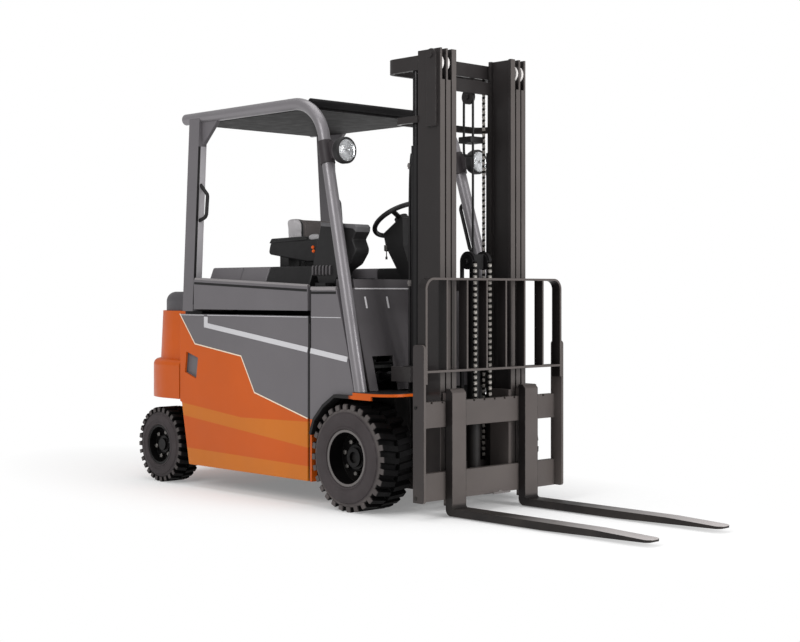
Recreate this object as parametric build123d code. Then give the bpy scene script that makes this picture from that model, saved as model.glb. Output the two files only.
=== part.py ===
from build123d import *
import os
from math import cos, hypot, radians, sin

# Four-wheel electric counterbalance lift truck with a three-stage mast.
# Millimetres; +X forward, +Y left, +Z up.  Sizes below count x from the front
# axle; place() moves the finished pieces so that the origin is under the middle.

# wheels
WHEELBASE = 1752
FRONT_R = 289
FRONT_W = 256
FRONT_OUT = 626
FRONT_RIM_R = 153
FRONT_DISC_IN = 107
REAR_R = 232
REAR_W = 180
REAR_OUT = 620
REAR_RIM_R = 121
REAR_DISC_IN = 62
RIM_WALL = 13
LUGS = 28
LUG_DEPTH = 26
WALL_TOP = 40
WALL_BULGE = 12
WALL_BAND = 22
BEAD = 10
TREAD_GAP = 8
FRONT_NUTS = (88, 7, 13, 20)
REAR_NUTS = (78, 6, 10, 14)
KINGPIN_Y = 398
HUB_R = 50
REAR_HUB_R = 28
PIN_GAP = 0.3
SHAFT_GAP = 0.08
ROLLER_GAP = 0.4
ROD_GAP = 0.4

# body
BODY_HALF = 600
SKIN = 40
BODY_BOTTOM = 134
PANEL_TOP = 1043
CREASE = ((-1300, 966), (-3, 800))
CREASE_DEPTH = 7
CREASE_RISE = 10
PANEL_EDGE = 3
BELT_BOTTOM = 1072
BELT_FRONT = 1205
BELT_REAR = 1250
DOOR_FRONT = -338
HINGE_X = -332
HINGE_Y = BODY_HALF - 6
HINGE_R = 5.7
FRAME_REAR = -1400
FRAME_FRONT = 95
FOOTWELL_REAR = -430
FLOOR_TOP = 780
PLATE = 20
COWL_AHEAD = 20
COWL_T = 14
COWL_TOP = 1198
COWL_HALF = BODY_HALF - 64
COWL_CUT = (320, 475, 830)
DASH_TOP = 1245
DASH_DEPTH = 150
DASH_LOW = 1050
SEAT_GAP = 0.3
CW_REAR = -2120
CW_FRONT = -1556
CW_CORNER = 420
CW_BOTTOM = 522
CW_STEP = 760
CW_TOP = 1060
CW_SETBACK = 45
CAP_TOP = 1178
TOW_X = 42
TOW_HALF = 60
TOW_DEPTH = 100
TOW_Z = (560, 740)
TOW_SLOT = (600, 680)
TOW_R = 17
CW_DRAFT = 14
FENDER_TOP = 645
FENDER_FRONT = 330
FENDER_T = 18
FENDER_OUT = 22
FENDER_LIP = 40
ARCH = [(-302, 400), (-270, 484), (-190, 565), (-95, FENDER_TOP - 20)]
BATTERY_GAP = 75
BATTERY_TOP = 985

# overhead guard
TUBE_R = 34
RAIL_Y = BODY_HALF - 95
RAIL_Z = 2238
RAIL_REAR = -1613
PILLAR_FOOT = (86, BODY_HALF - 14, 632)
PILLAR_TOP_X = -352
BEND_R = 280
REAR_FOOT = (-1468, BODY_HALF - 30)
REAR_HEAD = (-1483, RAIL_Y + 3)
REAR_POST = (104, 60)
GUARD_BAR_X = -440
GUARD_BAR_R = 24
ROOF_BARS = 7
LINING = (-36, -27)
GUSSET = 150
HANDLE_R = 11
HANDLE_OUT = 66
HANDLE_BEND = 30

# mast
MAST_FRONT = 430
RAIL_DEPTH = 170
MAST_HALF = 335
FLANGE_W = 33
RAIL_PITCH = 43
WEB = 12
FLANGE_T = 20
MAST_TOP = 2460
MAST_BOTTOM = 90
PIVOT = (165, 255)
PIVOT_R = 25
TILT_PIN = (190, 740)
TILT_ANCHOR = (-390, 660)
TILT_Y = 388
TILT_BARREL_R = 32
TILT_ROD_R = 20
TILT_PIN_R = 15
TILT_EYE_SLACK = 6
LIFT_X = 210
LIFT_Y = 294
LIFT_BARREL_R = 30
LIFT_ROD_R = 22
LIFT_BASE = 340
LIFT_BARREL_TOP = MAST_TOP - 500
FREE_X = 352
FREE_BARREL_R = 36
FREE_ROD_R = 24
FREE_BARREL_TOP = 1240
SHEAVE_Z = 1340
SHEAVE_X = 368
SHEAVE_Y = 58
SHEAVE_R = 43
CHAIN_T = 12
CHAIN_FOOT = 540
CHAIN_W = 20
CHAIN_PITCH = 50
CHAIN_WAIST = 3
MAST_CHAIN_Y = 190
HOSE_PULLEY = (212, 104, MAST_TOP - 200)
HOSE_PULLEY_R = 41
HOOP_TOP = (MAST_TOP - 99, MAST_TOP - 22, -5)
HOOP_LOW = (MAST_TOP - 381, MAST_TOP - 345, 66)
SIDE_POST = (338, 408, 410)
INNER_TIE = (MAST_TOP - 188, MAST_TOP - 117)

# carriage and forks
BAR_FRONT = 470
BAR_T = 34
UPPER_BAR = (470, 604)
BAR_NOTCH = (80, 14, 10)
LOWER_BAR = (90, 235)
CARRIAGE_HALF = 550
SIDE_T = 16
SIDE_X = (444, 523)
SIDE_Z = (91, 903)
REST_HALF = CARRIAGE_HALF - SIDE_T
REST_TOP = 1249
REST_LOW = 771
REST_X = (463, 523)
REST_T = 12
REST_BARS = 8
FORK_Y = 285
FORK_W = 105
FORK_T = 48
FORK_TOP = 668
FORK_BOTTOM = 6
FORK_GAP = 0.4
FORK_TIP = 1775
BLADE_T = 40
TIP_T = 12

# driver's place
WHEEL_AT = (-215, 0, 1590)
STEER_R = 180
STEER_TILT = 32
COLUMN_HALF = 62
SEAT_X = -930
SEAT_TOP = 1630
CUSHION_TOP = 1235
HOOD_REAR = -1405
HOOD_HINGE = (-1389, 1230)
HOOD_LUGS = (-300, 300)
HOOD_HINGE_R = 8
SEAT_HALF = 245
SEAT_ROUND = 45
BACK_HALF = 215
LAMP_AT = (-105, RAIL_Y + 16, 1945)
LAMP_R = 70
LAMP_DEPTH = 58
SLEEVE = (1880, 2005, 7)


def block(x0, x1, y0, y1, z0, z1):
    middle = Pos((x0 + x1) / 2, (y0 + y1) / 2, (z0 + z1) / 2)
    return middle * Box(abs(x1 - x0), abs(y1 - y0), abs(z1 - z0))


def rod_y(x, z, r, y0, y1):
    return Pos(x, (y0 + y1) / 2, z) * Rot(90, 0, 0) * Cylinder(r, abs(y1 - y0))


def rod_z(x, y, r, z0, z1):
    return Pos(x, y, (z0 + z1) / 2) * Cylinder(r, z1 - z0)


def rod_x(y, z, r, x0, x1):
    return Pos((x0 + x1) / 2, y, z) * Rot(0, 90, 0) * Cylinder(r, x1 - x0)


def rod_between(a, b, r):
    a = Vector(*a)
    b = Vector(*b)
    return Plane(origin=(a + b) * 0.5, z_dir=b - a) * Cylinder(r, (b - a).length)


def slab(points, y0, y1, radius=0):
    """Plate with an x-z outline, from y0 to y1; radius is one value or one for each point."""
    radii = radius if isinstance(radius, (list, tuple)) else [radius] * len(points)
    line = FilletPolyline(*points, radius=radii, close=True)
    return extrude(Plane.XZ.offset(-y1) * make_face(line), amount=y1 - y0)


def plan(points, z0, z1, radius=0):
    """Plate with an x-y outline, from z0 to z1."""
    radii = radius if isinstance(radius, (list, tuple)) else [radius] * len(points)
    line = FilletPolyline(*points, radius=radii, close=True)
    return extrude(Plane.XY.offset(z0) * make_face(line), amount=z1 - z0)


def ring_y(x, z, r_out, r_in, y0, y1):
    return rod_y(x, z, r_out, y0, y1) - rod_y(x, z, r_in, y0 - 1, y1 + 1)


def turned(profile, x, z):
    """Solid of revolution about the y line at x, z; the profile is a list of (y, radius)."""
    face = make_face(Polyline(*[(r, y) for y, r in profile], close=True))
    return Pos(x, 0, z) * Rot(-90, 0, 0) * revolve(Plane.XZ * face, Axis.Z)


def across(face, y0, y1):
    """Face drawn in x-z, extruded from y0 to y1."""
    return extrude(Plane.XZ.offset(-y1) * face, amount=y1 - y0)


def between(face_a, y_a, face_b, y_b):
    """Straight-sided solid between two x-z faces at two places along y."""
    return loft([Plane.XZ.offset(-y_a) * face_a, Plane.XZ.offset(-y_b) * face_b], ruled=True)


def bent_rod(points, radius, bend):
    """Round bar along a line with rounded corners."""
    path = FilletPolyline(*points, radius=bend)
    return sweep(Plane(origin=path @ 0, z_dir=path % 0) * Circle(radius), path=path)


def outer_edges(shape, y):
    """Edges of the face that lies at y."""
    return [e for e in shape.edges() if abs(e.center().Y - y) < 0.01 and abs((e @ 0).Y - y) < 0.01]


def left(shape):
    return mirror(shape, about=Plane.XZ)


def both(shape):
    return shape + left(shape)


# wheels

def facets(radius, flats):
    """Regular outline with corners at a radius."""
    step = radians(360 / flats)
    corners = [(radius * cos(k * step), radius * sin(k * step)) for k in range(flats)]
    return make_face(Polyline(*corners, close=True))


def tread(radius, turn):
    """Outline of one shoulder's tread: blocks and gaps of equal width, turned by half pitches."""
    step = radians(180 / LUGS)
    low = radius - LUG_DEPTH
    corners = []
    for k in range(turn, 2 * LUGS + turn, 2):
        for r, edge in ((radius, k), (radius, k + 1), (low, k + 1), (low, k + 2)):
            corners.append((r * cos(edge * step), r * sin(edge * step)))
    return make_face(Polyline(*corners, close=True))


def tyre(radius, width, outer, rim_r, x):
    inner = outer - width
    middle = outer - width / 2
    bore = rim_r / cos(radians(180 / LUGS))
    shoulder = -outer + WALL_BULGE
    flats = 2 * LUGS
    body = across(facets(radius - LUG_DEPTH, flats), -middle - TREAD_GAP / 2, -middle + TREAD_GAP / 2)
    body += across(tread(radius, 0), -middle + TREAD_GAP / 2, -inner)
    body += across(tread(radius, 1), shoulder, -middle - TREAD_GAP / 2)
    wall = radius - WALL_TOP
    body += between(facets(wall, flats), shoulder, facets(wall - WALL_BAND, flats), -outer)
    body -= across(facets(bore, LUGS), -outer - 1, -inner + 1)
    body -= between(facets(bore + WALL_BAND, LUGS), -outer, facets(bore, LUGS), -outer + BEAD)
    return Pos(x, 0, radius) * body


def front_tyre_right():
    return tyre(FRONT_R, FRONT_W, FRONT_OUT, FRONT_RIM_R, 0)


def rear_tyre_right():
    return tyre(REAR_R, REAR_W, REAR_OUT, REAR_RIM_R, -WHEELBASE)


def nut_ring(x, z, face, nuts):
    """Wheel nuts on a disc whose outer face is at face."""
    pitch_r, count, nut_r, height = nuts
    ring = []
    for k in range(count):
        a = radians(360 * k / count + 12)
        ring.append(rod_y(x + pitch_r * cos(a), z + pitch_r * sin(a), nut_r, face - height, face + 4))
    return ring


def front_rim_right():
    inner = FRONT_OUT - FRONT_W
    disc = FRONT_OUT - FRONT_DISC_IN
    x, z = 0, FRONT_R
    bore = HUB_R + PIN_GAP
    rim = ring_y(x, z, FRONT_RIM_R, FRONT_RIM_R - RIM_WALL, -FRONT_OUT + BEAD, -inner - BEAD)
    rim += ring_y(x, z, FRONT_RIM_R - 2, bore, -disc, -disc + 16)
    rim += ring_y(x, z, bore + 16, bore, -disc - 30, -disc + 60)
    rim += ring_y(x, z, bore + 2, bore - 20, -disc - 46, -disc - 29)
    for nut in nut_ring(x, z, -disc, FRONT_NUTS):
        rim += nut
    return rim


def rear_rim_right():
    inner = REAR_OUT - REAR_W
    disc = REAR_OUT - REAR_DISC_IN
    x, z = -WHEELBASE, REAR_R
    bore = REAR_HUB_R + PIN_GAP
    rim = ring_y(x, z, REAR_RIM_R, REAR_RIM_R - RIM_WALL, -REAR_OUT + BEAD, -inner - BEAD)
    rim += ring_y(x, z, REAR_RIM_R - 2, bore, -disc, -disc + 14)
    rim += ring_y(x, z, bore + 24, bore, -disc - 18, -disc + 40)
    rim += rod_y(x, z, bore + 8, -disc - 34, -disc - 17)
    for nut in nut_ring(x, z, -disc, REAR_NUTS):
        rim += nut
    return rim


def knuckle_right():
    x, z = -WHEELBASE, REAR_R
    web = REAR_OUT - REAR_W - 2
    part = block(x - 28, x + 28, -web - 12, -KINGPIN_Y + 26, z + 62, z + 82)
    part += block(x - 28, x + 28, -web - 12, -KINGPIN_Y + 26, z - 82, z - 62)
    part += block(x - 28, x + 28, -web - 12, -web, z - 82, z + 82)
    part += rod_y(x, z, REAR_HUB_R, -REAR_OUT + REAR_DISC_IN + 20, -web - 6)
    part += rod_z(x, -KINGPIN_Y, 16, z - 82, z + 82)
    return part


def steer_axle():
    x, z = -WHEELBASE, REAR_R
    half = rod_z(x, -KINGPIN_Y, 32, z - 56, z + 56)
    half += block(x - 30, x + 30, -KINGPIN_Y, -300, z - 50, z + 50)
    half += block(x - 52, x + 52, -300, 0, z - 58, z + 58)
    half -= rod_z(x, -KINGPIN_Y, 16 + PIN_GAP, z - 90, z + 90)
    return half + left(half)


def drive_axle():
    inner = FRONT_OUT - FRONT_W
    half = rod_y(0, FRONT_R, 54, -inner + 26, 0)
    half += rod_y(0, FRONT_R, HUB_R, -FRONT_OUT + FRONT_DISC_IN - 26, -inner + 30)
    half += rod_y(0, FRONT_R, 96, -inner + 2, -inner + 25)
    return half + left(half)


# chassis

def chassis_frame():
    inner = FRONT_OUT - FRONT_W - 25
    wall = BODY_HALF - SKIN - 5
    b = BODY_BOTTOM
    frame = block(FRAME_REAR, FOOTWELL_REAR, -wall, wall, b, b + 25)
    frame += block(FOOTWELL_REAR - 1, FRAME_FRONT, -inner, inner, b, b + 25)
    frame += block(FRAME_REAR, FRAME_REAR + PLATE, -wall, wall, b, CW_TOP)
    frame += block(FOOTWELL_REAR - PLATE, FOOTWELL_REAR, -wall, wall, b, PANEL_TOP)
    for s in (-1, 1):
        frame += block(FRAME_REAR, FOOTWELL_REAR, s * (wall - PLATE), s * wall, b, 420)
        side = block(FOOTWELL_REAR - 1, FRAME_FRONT, s * (inner - PLATE), s * inner, b, 640)
        frame += side - rod_y(0, FRONT_R, 54 + 6, s * (inner - 60), s * (inner + 40))
        lug = slab([(60, 205), (PIVOT[0], 205), (PIVOT[0] + 34, 222), (PIVOT[0] + 34, 288),
                    (PIVOT[0], 305), (60, 305)], s * 231 - 16, s * 231 + 16)
        frame += lug
        frame += rod_y(PIVOT[0], PIVOT[1], PIVOT_R, s * 232, s * (MAST_HALF - 4))
        for y in (TILT_Y - 34, TILT_Y + 22):
            frame += block(FOOTWELL_REAR - 1, TILT_ANCHOR[0] + 30, s * y, s * (y + 12),
                           TILT_ANCHOR[1] - 32, TILT_ANCHOR[1] + 32)
        frame += rod_y(TILT_ANCHOR[0], TILT_ANCHOR[1], TILT_PIN_R, s * (TILT_Y - 34),
                       s * (TILT_Y + 34))
    for y in HOOD_LUGS:
        frame += block(FRAME_REAR, FRAME_REAR + PLATE, y - 10, y + 10, CW_TOP - 1, HOOD_HINGE[1] + 14)
        frame += rod_y(HOOD_HINGE[0], HOOD_HINGE[1], HOOD_HINGE_R, y - 30, y + 30)
    front = block(60, FRAME_FRONT, -inner, inner, b, 640)
    return frame + front


def battery_block():
    half = BODY_HALF - SKIN - 5 - BATTERY_GAP
    return block(FRAME_REAR + 45, FOOTWELL_REAR - 60, -half, half, BODY_BOTTOM + 25, BATTERY_TOP)


def counterweight_outline(setback):
    half = BODY_HALF - setback
    rear = CW_REAR + setback
    return [(CW_FRONT, -half), (rear, -half), (rear, half), (CW_FRONT, half)]


def counterweight():
    r = CW_CORNER
    low = plan(counterweight_outline(0), CW_BOTTOM, CW_STEP, [0, r, r, 0])
    rim = low.edges().group_by(Axis.Z)[-1]
    low = fillet([e for e in rim if e.center().X < CW_FRONT - 1], CW_SETBACK - 8)
    levels = []
    for z, setback in ((CW_STEP, CW_SETBACK), (CW_TOP, CW_SETBACK + CW_DRAFT)):
        bend = r - setback
        line = FilletPolyline(*counterweight_outline(setback), radius=[0, bend, bend, 0], close=True)
        levels.append(Plane.XY.offset(z) * make_face(line))
    high = loft(levels, ruled=True)
    skirt = block(CW_REAR + 20, FRAME_REAR, -150, 150, 330, CW_BOTTOM + 1)
    wall = BODY_HALF - SKIN - 5
    core = block(CW_FRONT - 1, FRAME_REAR, -wall, wall, CW_BOTTOM, CW_TOP)
    mass = low + high + skirt + core
    mass -= block(CW_REAR - 1, CW_REAR + TOW_DEPTH - 10, -TOW_HALF, TOW_HALF, TOW_SLOT[0], TOW_SLOT[1])
    mass -= block(CW_REAR - 1, CW_REAR + TOW_DEPTH, -TOW_HALF, TOW_HALF, TOW_Z[1], CW_TOP + 1)
    mass -= rod_z(CW_REAR + TOW_X, 0, TOW_R, TOW_Z[0], TOW_Z[1] + 1)
    saddle = block(-WHEELBASE - 70, -WHEELBASE + 70, -130, 130, REAR_R + 58, 331)
    return mass + saddle


def counterweight_cover():
    points = counterweight_outline(CW_SETBACK + 24)
    r = CW_CORNER - 40
    cover = plan(points, CW_TOP, CAP_TOP, [0, r, r, 0])
    top = cover.faces().sort_by(Axis.Z)[-1].edges()
    cover = fillet(top.filter_by(GeomType.LINE).sort_by(Axis.X)[:1] + top.filter_by(GeomType.CIRCLE), 60)
    foot_x, foot_y = REAR_FOOT
    inside = foot_y - REAR_POST[1] - 5
    for s in (-1, 1):
        cover -= block(foot_x - 132, CW_FRONT + 40, s * inside, s * (BODY_HALF + 40), CW_TOP - 1, CAP_TOP + 1)
    return cover


DIVIDE = [(-1548, 1043), (-1392, 864), (-938, 804), (-812, 599), (DOOR_FRONT, 479)]


def crease_cut():
    """Tool that sets back the panel above the pressed line, with a slope along the line."""
    (x0, z0), (x1, z1) = CREASE
    top = PANEL_TOP + 400

    def region(drop):
        return make_face(Polyline((x0 - drop, top), (x0 - drop, z0 - drop), (x1, z1 - drop), (x1, top), close=True))

    return between(region(2 * CREASE_RISE), -BODY_HALF - CREASE_DEPTH, region(-2 * CREASE_RISE),
                   -BODY_HALF + CREASE_DEPTH)


def door_upper_right():
    edge = DIVIDE + [(DOOR_FRONT, PANEL_TOP)]
    skin = slab(edge, -BODY_HALF, -BODY_HALF + SKIN)
    skin = chamfer(outer_edges(skin, -BODY_HALF), PANEL_EDGE)
    return skin - crease_cut()


def door_lower_right():
    edge = [(DOOR_FRONT, BODY_BOTTOM), (-1455, BODY_BOTTOM), (-1530, 505), (-1548, 512)]
    edge += DIVIDE
    skin = slab(edge, -BODY_HALF, -BODY_HALF + SKIN)
    skin = chamfer(outer_edges(skin, -BODY_HALF), PANEL_EDGE)
    skin -= slab([(-1496, 690), (-1380, 653), (-1361, 780), (-1480, 815)],
                 -BODY_HALF - 1, -BODY_HALF + 22)
    return skin


def pillar_x(z):
    """Centre line of the front pillar at a height."""
    fx, fy, fz = PILLAR_FOOT
    return fx + (PILLAR_TOP_X - fx) * (z - fz) / (RAIL_Z - fz)


def cowl_x(z):
    """Front face of the sloping cowl at a height."""
    return pillar_x(z) + COWL_AHEAD


def front_panel(top):
    low = FENDER_TOP - 20
    edge = [(-320, BODY_BOTTOM), (-320, top), (pillar_x(top) - TUBE_R - 4, top),
            (pillar_x(low) - TUBE_R - 4, low), *reversed(ARCH), (ARCH[0][0], BODY_BOTTOM)]
    skin = slab(edge, -BODY_HALF, -BODY_HALF + SKIN) - crease_cut()
    rod = rod_z(HINGE_X, -HINGE_Y, HINGE_R, 480, min(top, PANEL_TOP))
    web = block(HINGE_X + 3, -319, -HINGE_Y - 3, -HINGE_Y + 3, 480, min(top, 1000))
    return skin + rod + web


def front_panels():
    right = front_panel(COWL_TOP - 8)
    entry = front_panel(FLOOR_TOP)
    return right + left(entry)


def toward_axle(point, depth):
    """Point moved towards the front axle by a depth."""
    x, z = point
    reach = hypot(x, z - FRONT_R)
    return x * (1 - depth / reach), FRONT_R + (z - FRONT_R) * (1 - depth / reach)


def front_fenders():
    y0, y1 = -BODY_HALF - FENDER_OUT, -(FRONT_OUT - FRONT_W - 25)
    y2 = -BODY_HALF + SKIN + 5
    x1 = pillar_x(FENDER_TOP - 20) - TUBE_R + 4
    top = plan([(x1, y0), (FENDER_FRONT, y0), (FENDER_FRONT, y1), (-150, y1), (-150, y2), (x1, y2)],
               FENDER_TOP - FENDER_T, FENDER_TOP, [0, 130, 0, 0, 0, 0])
    top += block(x1, FENDER_FRONT - 130, y0, y0 + FENDER_T, FENDER_TOP - FENDER_LIP, FENDER_TOP - FENDER_T + 1)
    low = FENDER_TOP - 20
    under = [toward_axle(p, FENDER_T) for p in reversed(ARCH)]
    arch = slab([*ARCH, (x1 + 60, low), (x1 + 60, low - FENDER_T), *under], y0, y2)
    return both(top + arch)


def floor_plate():
    wall = BODY_HALF - SKIN - 20
    front = cowl_x(FLOOR_TOP) - COWL_T - SEAT_GAP
    floor = block(FOOTWELL_REAR, front, -wall, wall, FLOOR_TOP - 15, FLOOR_TOP)
    side = BODY_HALF - SKIN
    return floor + block(-320, -20, -side, side, FLOOR_TOP - 15, FLOOR_TOP)


def front_cowl():
    low = FENDER_TOP + 2
    x0, x1 = cowl_x(low), cowl_x(COWL_TOP)
    plate = slab([(x0, low), (x1, COWL_TOP), (x1 - COWL_T, COWL_TOP), (x0 - COWL_T, low)],
                 -COWL_HALF, COWL_HALF)
    y0, y1, z1 = COWL_CUT
    for s in (-1, 1):
        plate -= block(x1, x0 + 1, s * y0, s * y1, low - 1, z1)
    rear = x1 - DASH_DEPTH
    dash = slab([(x1, COWL_TOP - 1), (x1 - 8, DASH_TOP), (rear, DASH_TOP), (rear, DASH_TOP - 40),
                 (cowl_x(DASH_LOW) - COWL_T + 1, DASH_LOW), (x1 - COWL_T + 1, COWL_TOP - 1)],
                -COWL_HALF + 22, COWL_HALF - 22)
    return plate + dash - both(guard_tube(TUBE_R + SEAT_GAP))


def wheel_plane(x, drop):
    """Height on the steering wheel's plane at x, less a drop square to the plane."""
    a = radians(STEER_TILT)
    return WHEEL_AT[2] + (x - WHEEL_AT[0]) * sin(a) / cos(a) - drop / cos(a)


def steering_column():
    a = radians(STEER_TILT)
    wx, wy, wz = WHEEL_AT
    head = (wx + 22 * sin(a), 0, wz - 22 * cos(a))
    hub = rod_between(head, (wx + 8 * sin(a), 0, wz - 8 * cos(a)), 14)
    rear, front = wx - 90, wx + 70
    rise = wz - DASH_TOP
    points = [(rear, wheel_plane(rear, 20)), (rear + 24, DASH_TOP + 0.54 * rise), (-150, DASH_TOP),
              (-70, DASH_TOP), (-95, DASH_TOP + 0.25 * rise), (front + 5, DASH_TOP + 0.57 * rise),
              (front, wheel_plane(front, 20))]
    housing = slab(points, -COLUMN_HALF, COLUMN_HALF, [12, 20, 0, 0, 20, 20, 12])
    return housing + hub


def steering_wheel():
    wheel = Torus(STEER_R - 14, 14)
    wheel += Cylinder(40, 30)
    wheel -= Pos(0, 0, -10) * Cylinder(14 + PIN_GAP, 30)
    for k in range(3):
        wheel += Rot(0, 0, 120 * k + 60) * Pos(STEER_R / 2 + 8, 0, 0) * Box(STEER_R - 44, 26, 12)
    return Pos(*WHEEL_AT) * Rot(0, -STEER_TILT, 0) * wheel


# overhead guard

def guard_tube(radius):
    fx, fy, fz = PILLAR_FOOT
    path = FilletPolyline((fx, -fy, fz), (PILLAR_TOP_X, -RAIL_Y, RAIL_Z), (RAIL_REAR, -RAIL_Y, RAIL_Z),
                          radius=BEND_R)
    tube = sweep(Plane(origin=path @ 0, z_dir=path % 0) * Circle(radius), path=path)
    return tube - block(fx - 200, fx + 200, -fy - 200, -fy + 200, fz - 300, FENDER_TOP)


def guard_at(z):
    """Centre of the right-hand front pillar at a height."""
    share = (z - PILLAR_FOOT[2]) / (RAIL_Z - PILLAR_FOOT[2])
    return pillar_x(z), -PILLAR_FOOT[1] + share * (PILLAR_FOOT[1] - RAIL_Y), z


def guard_side_tubes():
    return both(guard_tube(TUBE_R))


def guard_rear_pillars():
    w, t = REAR_POST
    z0, z1 = CW_TOP, RAIL_Z
    foot = Pos(REAR_FOOT[0], -REAR_FOOT[1], z0) * Rectangle(w, t)
    head = Pos(REAR_HEAD[0], -REAR_HEAD[1], z1) * Rectangle(w, t)
    front = REAR_HEAD[0] + w / 2
    under = z1 - TUBE_R
    gusset = slab([(front - 10, under + 10), (front + GUSSET, under + 10), (front + GUSSET, under),
                   (front - 10, under - GUSSET)], -RAIL_Y - 12, -RAIL_Y + 12)
    return both(loft([foot, head]) + gusset - guard_tube(TUBE_R))


def rear_pillar_at(z):
    """Front face and middle of the right-hand rear pillar at a height."""
    share = (z - CW_TOP) / (RAIL_Z - CW_TOP)
    x = REAR_FOOT[0] + share * (REAR_HEAD[0] - REAR_FOOT[0])
    y = REAR_FOOT[1] + share * (REAR_HEAD[1] - REAR_FOOT[1])
    return x + REAR_POST[0] / 2, -y


def guard_handles():
    """Grab handles on the rear pillars and on the entry side's front pillar."""
    low, high = 1608, 1826
    x0, y0 = rear_pillar_at(low)
    x1, y1 = rear_pillar_at(high)
    out = HANDLE_OUT
    rear = bent_rod([(x0 - 6, y0, low), (x0 + out, y0, low + 22), (x1 + out, y1, high - 64), (x1 - 6, y1, high)],
                    HANDLE_R, HANDLE_BEND)
    low, high = 1420, 1700
    a = guard_at(low)
    b = guard_at(high)
    grip = bent_rod([(a[0] - 6, a[1], low), (a[0] - out, a[1], low), (b[0] - out, b[1], high), (b[0] - 6, b[1], high)],
                    HANDLE_R, HANDLE_BEND)
    return both(rear - guard_rear_pillars()) + left(grip - guard_tube(TUBE_R))


def guard_roof():
    half = RAIL_Y - 12
    z = RAIL_Z
    rear = RAIL_REAR + 90
    roof = block(RAIL_REAR + 20, rear, -half, half, z - 30, z + 30)
    roof += rod_y(GUARD_BAR_X, z, GUARD_BAR_R, -half, half)
    roof += block(rear - 1, GUARD_BAR_X, -half, half, z + LINING[0], z + LINING[1])
    span = GUARD_BAR_X - rear
    for k in range(ROOF_BARS):
        x = rear + span * (k + 1) / (ROOF_BARS + 1)
        roof += block(x - 12, x + 12, -half, half, z + LINING[1] - 1, z + 22)
    return roof - both(guard_tube(TUBE_R)) - guard_rear_pillars()


def headlamps():
    x, y, z = LAMP_AT
    back = x - LAMP_DEPTH
    lamp = fillet(rod_x(-y, z, LAMP_R, back, x).edges().group_by(Axis.X)[0], 24)
    lamp += slab([(back + 4, z - 34), (back + 4, z + 44), (guard_at(z)[0] - 10, z + 66), (guard_at(z)[0] - 10, z - 44)],
                 -y - 9, -y + 9)
    low, high, thick = SLEEVE
    lamp += rod_between(guard_at(low), guard_at(high), TUBE_R + thick)
    return both(lamp - guard_tube(TUBE_R))


def side_console():
    points = [(-360, 1215), (-412, 1334), (-343, 1559), (-62, 1540), (-50, 1500), (-80, 1462),
              (-48, 1400), (-107, 1328), (-190, 1290), (-230, 1215)]
    outer = BODY_HALF - 100
    console = slab(points, -outer, -outer + 100, [0, 20, 10, 10, 10, 12, 40, 40, 30, 0])
    console = fillet(outer_edges(console, -outer), 8)
    return console + block(-320, -235, -BODY_HALF + SKIN, -outer + 20, 1100, 1225)


# battery hood and seat

def battery_hood():
    rear = HOOD_REAR
    front = DOOR_FRONT
    side = slab([(rear, BELT_BOTTOM), (front, BELT_BOTTOM), (front, BELT_FRONT), (rear, BELT_REAR)],
                -BODY_HALF, -BODY_HALF + 90)
    deck = block(rear, front - 90, -BODY_HALF + 89, BODY_HALF - 89, BELT_BOTTOM, BELT_BOTTOM + 35)
    back = block(rear, rear + 90, -BODY_HALF + 89, BODY_HALF - 89, BELT_BOTTOM, BELT_REAR - 2)
    hood = both(side) + deck + back
    for y in HOOD_LUGS:
        hood -= block(rear - 1, rear + 60, y - 15, y + 15, BELT_BOTTOM - 1, BELT_REAR + 1)
        hood -= rod_y(HOOD_HINGE[0], HOOD_HINGE[1], HOOD_HINGE_R + SHAFT_GAP, y - 31, y + 31)
    return hood


def seat_base():
    z = BELT_BOTTOM + 35
    return block(SEAT_X - 20, SEAT_X + 420, -190, 190, z, z + 55)


def seat_cushion():
    z = BELT_BOTTOM + 90
    pad = block(SEAT_X + 20, SEAT_X + 470, -SEAT_HALF, SEAT_HALF, z, CUSHION_TOP)
    pad = fillet(pad.edges().filter_by(Axis.Z), SEAT_ROUND)
    return fillet(pad.edges().group_by(Axis.Z)[-1], SEAT_ROUND / 2)


def seat_back():
    z = BELT_BOTTOM + 90
    points = [(SEAT_X + 18, z), (SEAT_X, SEAT_TOP), (SEAT_X - 90, SEAT_TOP), (SEAT_X - 110, z)]
    pad = slab(points, -BACK_HALF, BACK_HALF, [0, SEAT_ROUND / 2, SEAT_ROUND / 2, 0])
    return fillet(outer_edges(pad, -BACK_HALF) + outer_edges(pad, BACK_HALF), SEAT_ROUND / 3)


def armrest():
    pad = slab([(-1000, 1400), (-980, 1470), (-560, 1480), (-530, 1440), (-540, 1350), (-640, 1350)],
               -350, -255, [20, 24, 24, 16, 16, 40])
    pad = fillet(outer_edges(pad, -350) + outer_edges(pad, -255), 8)
    return pad + block(-900, -820, -340, -262, BELT_BOTTOM + 35, 1410)


# mast

def rail_y(stage):
    """Outer face of a stage's right-hand channel, counted inwards from the mast's side."""
    return -MAST_HALF + stage * RAIL_PITCH


def channel(stage, z0, z1, notch):
    y = rail_y(stage)
    x1 = MAST_FRONT
    x0 = x1 - RAIL_DEPTH
    rail = block(x0, x1, y, y + FLANGE_W, z0, z1)
    rail -= block(x0 + FLANGE_T, x1 - FLANGE_T, y + WEB, y + FLANGE_W + 1, z0 - 1, z1 + 1)
    if notch:
        rail -= block(x1 - FLANGE_T - 1, x1 + 1, y + WEB, y + FLANGE_W + 1, z1 - 165, z1 + 1)
        roller = rod_y(x1 - 62, z1 - 75, 46, y + WEB - 1, y + FLANGE_W - 2)
        rail += roller
    return rail


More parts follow.
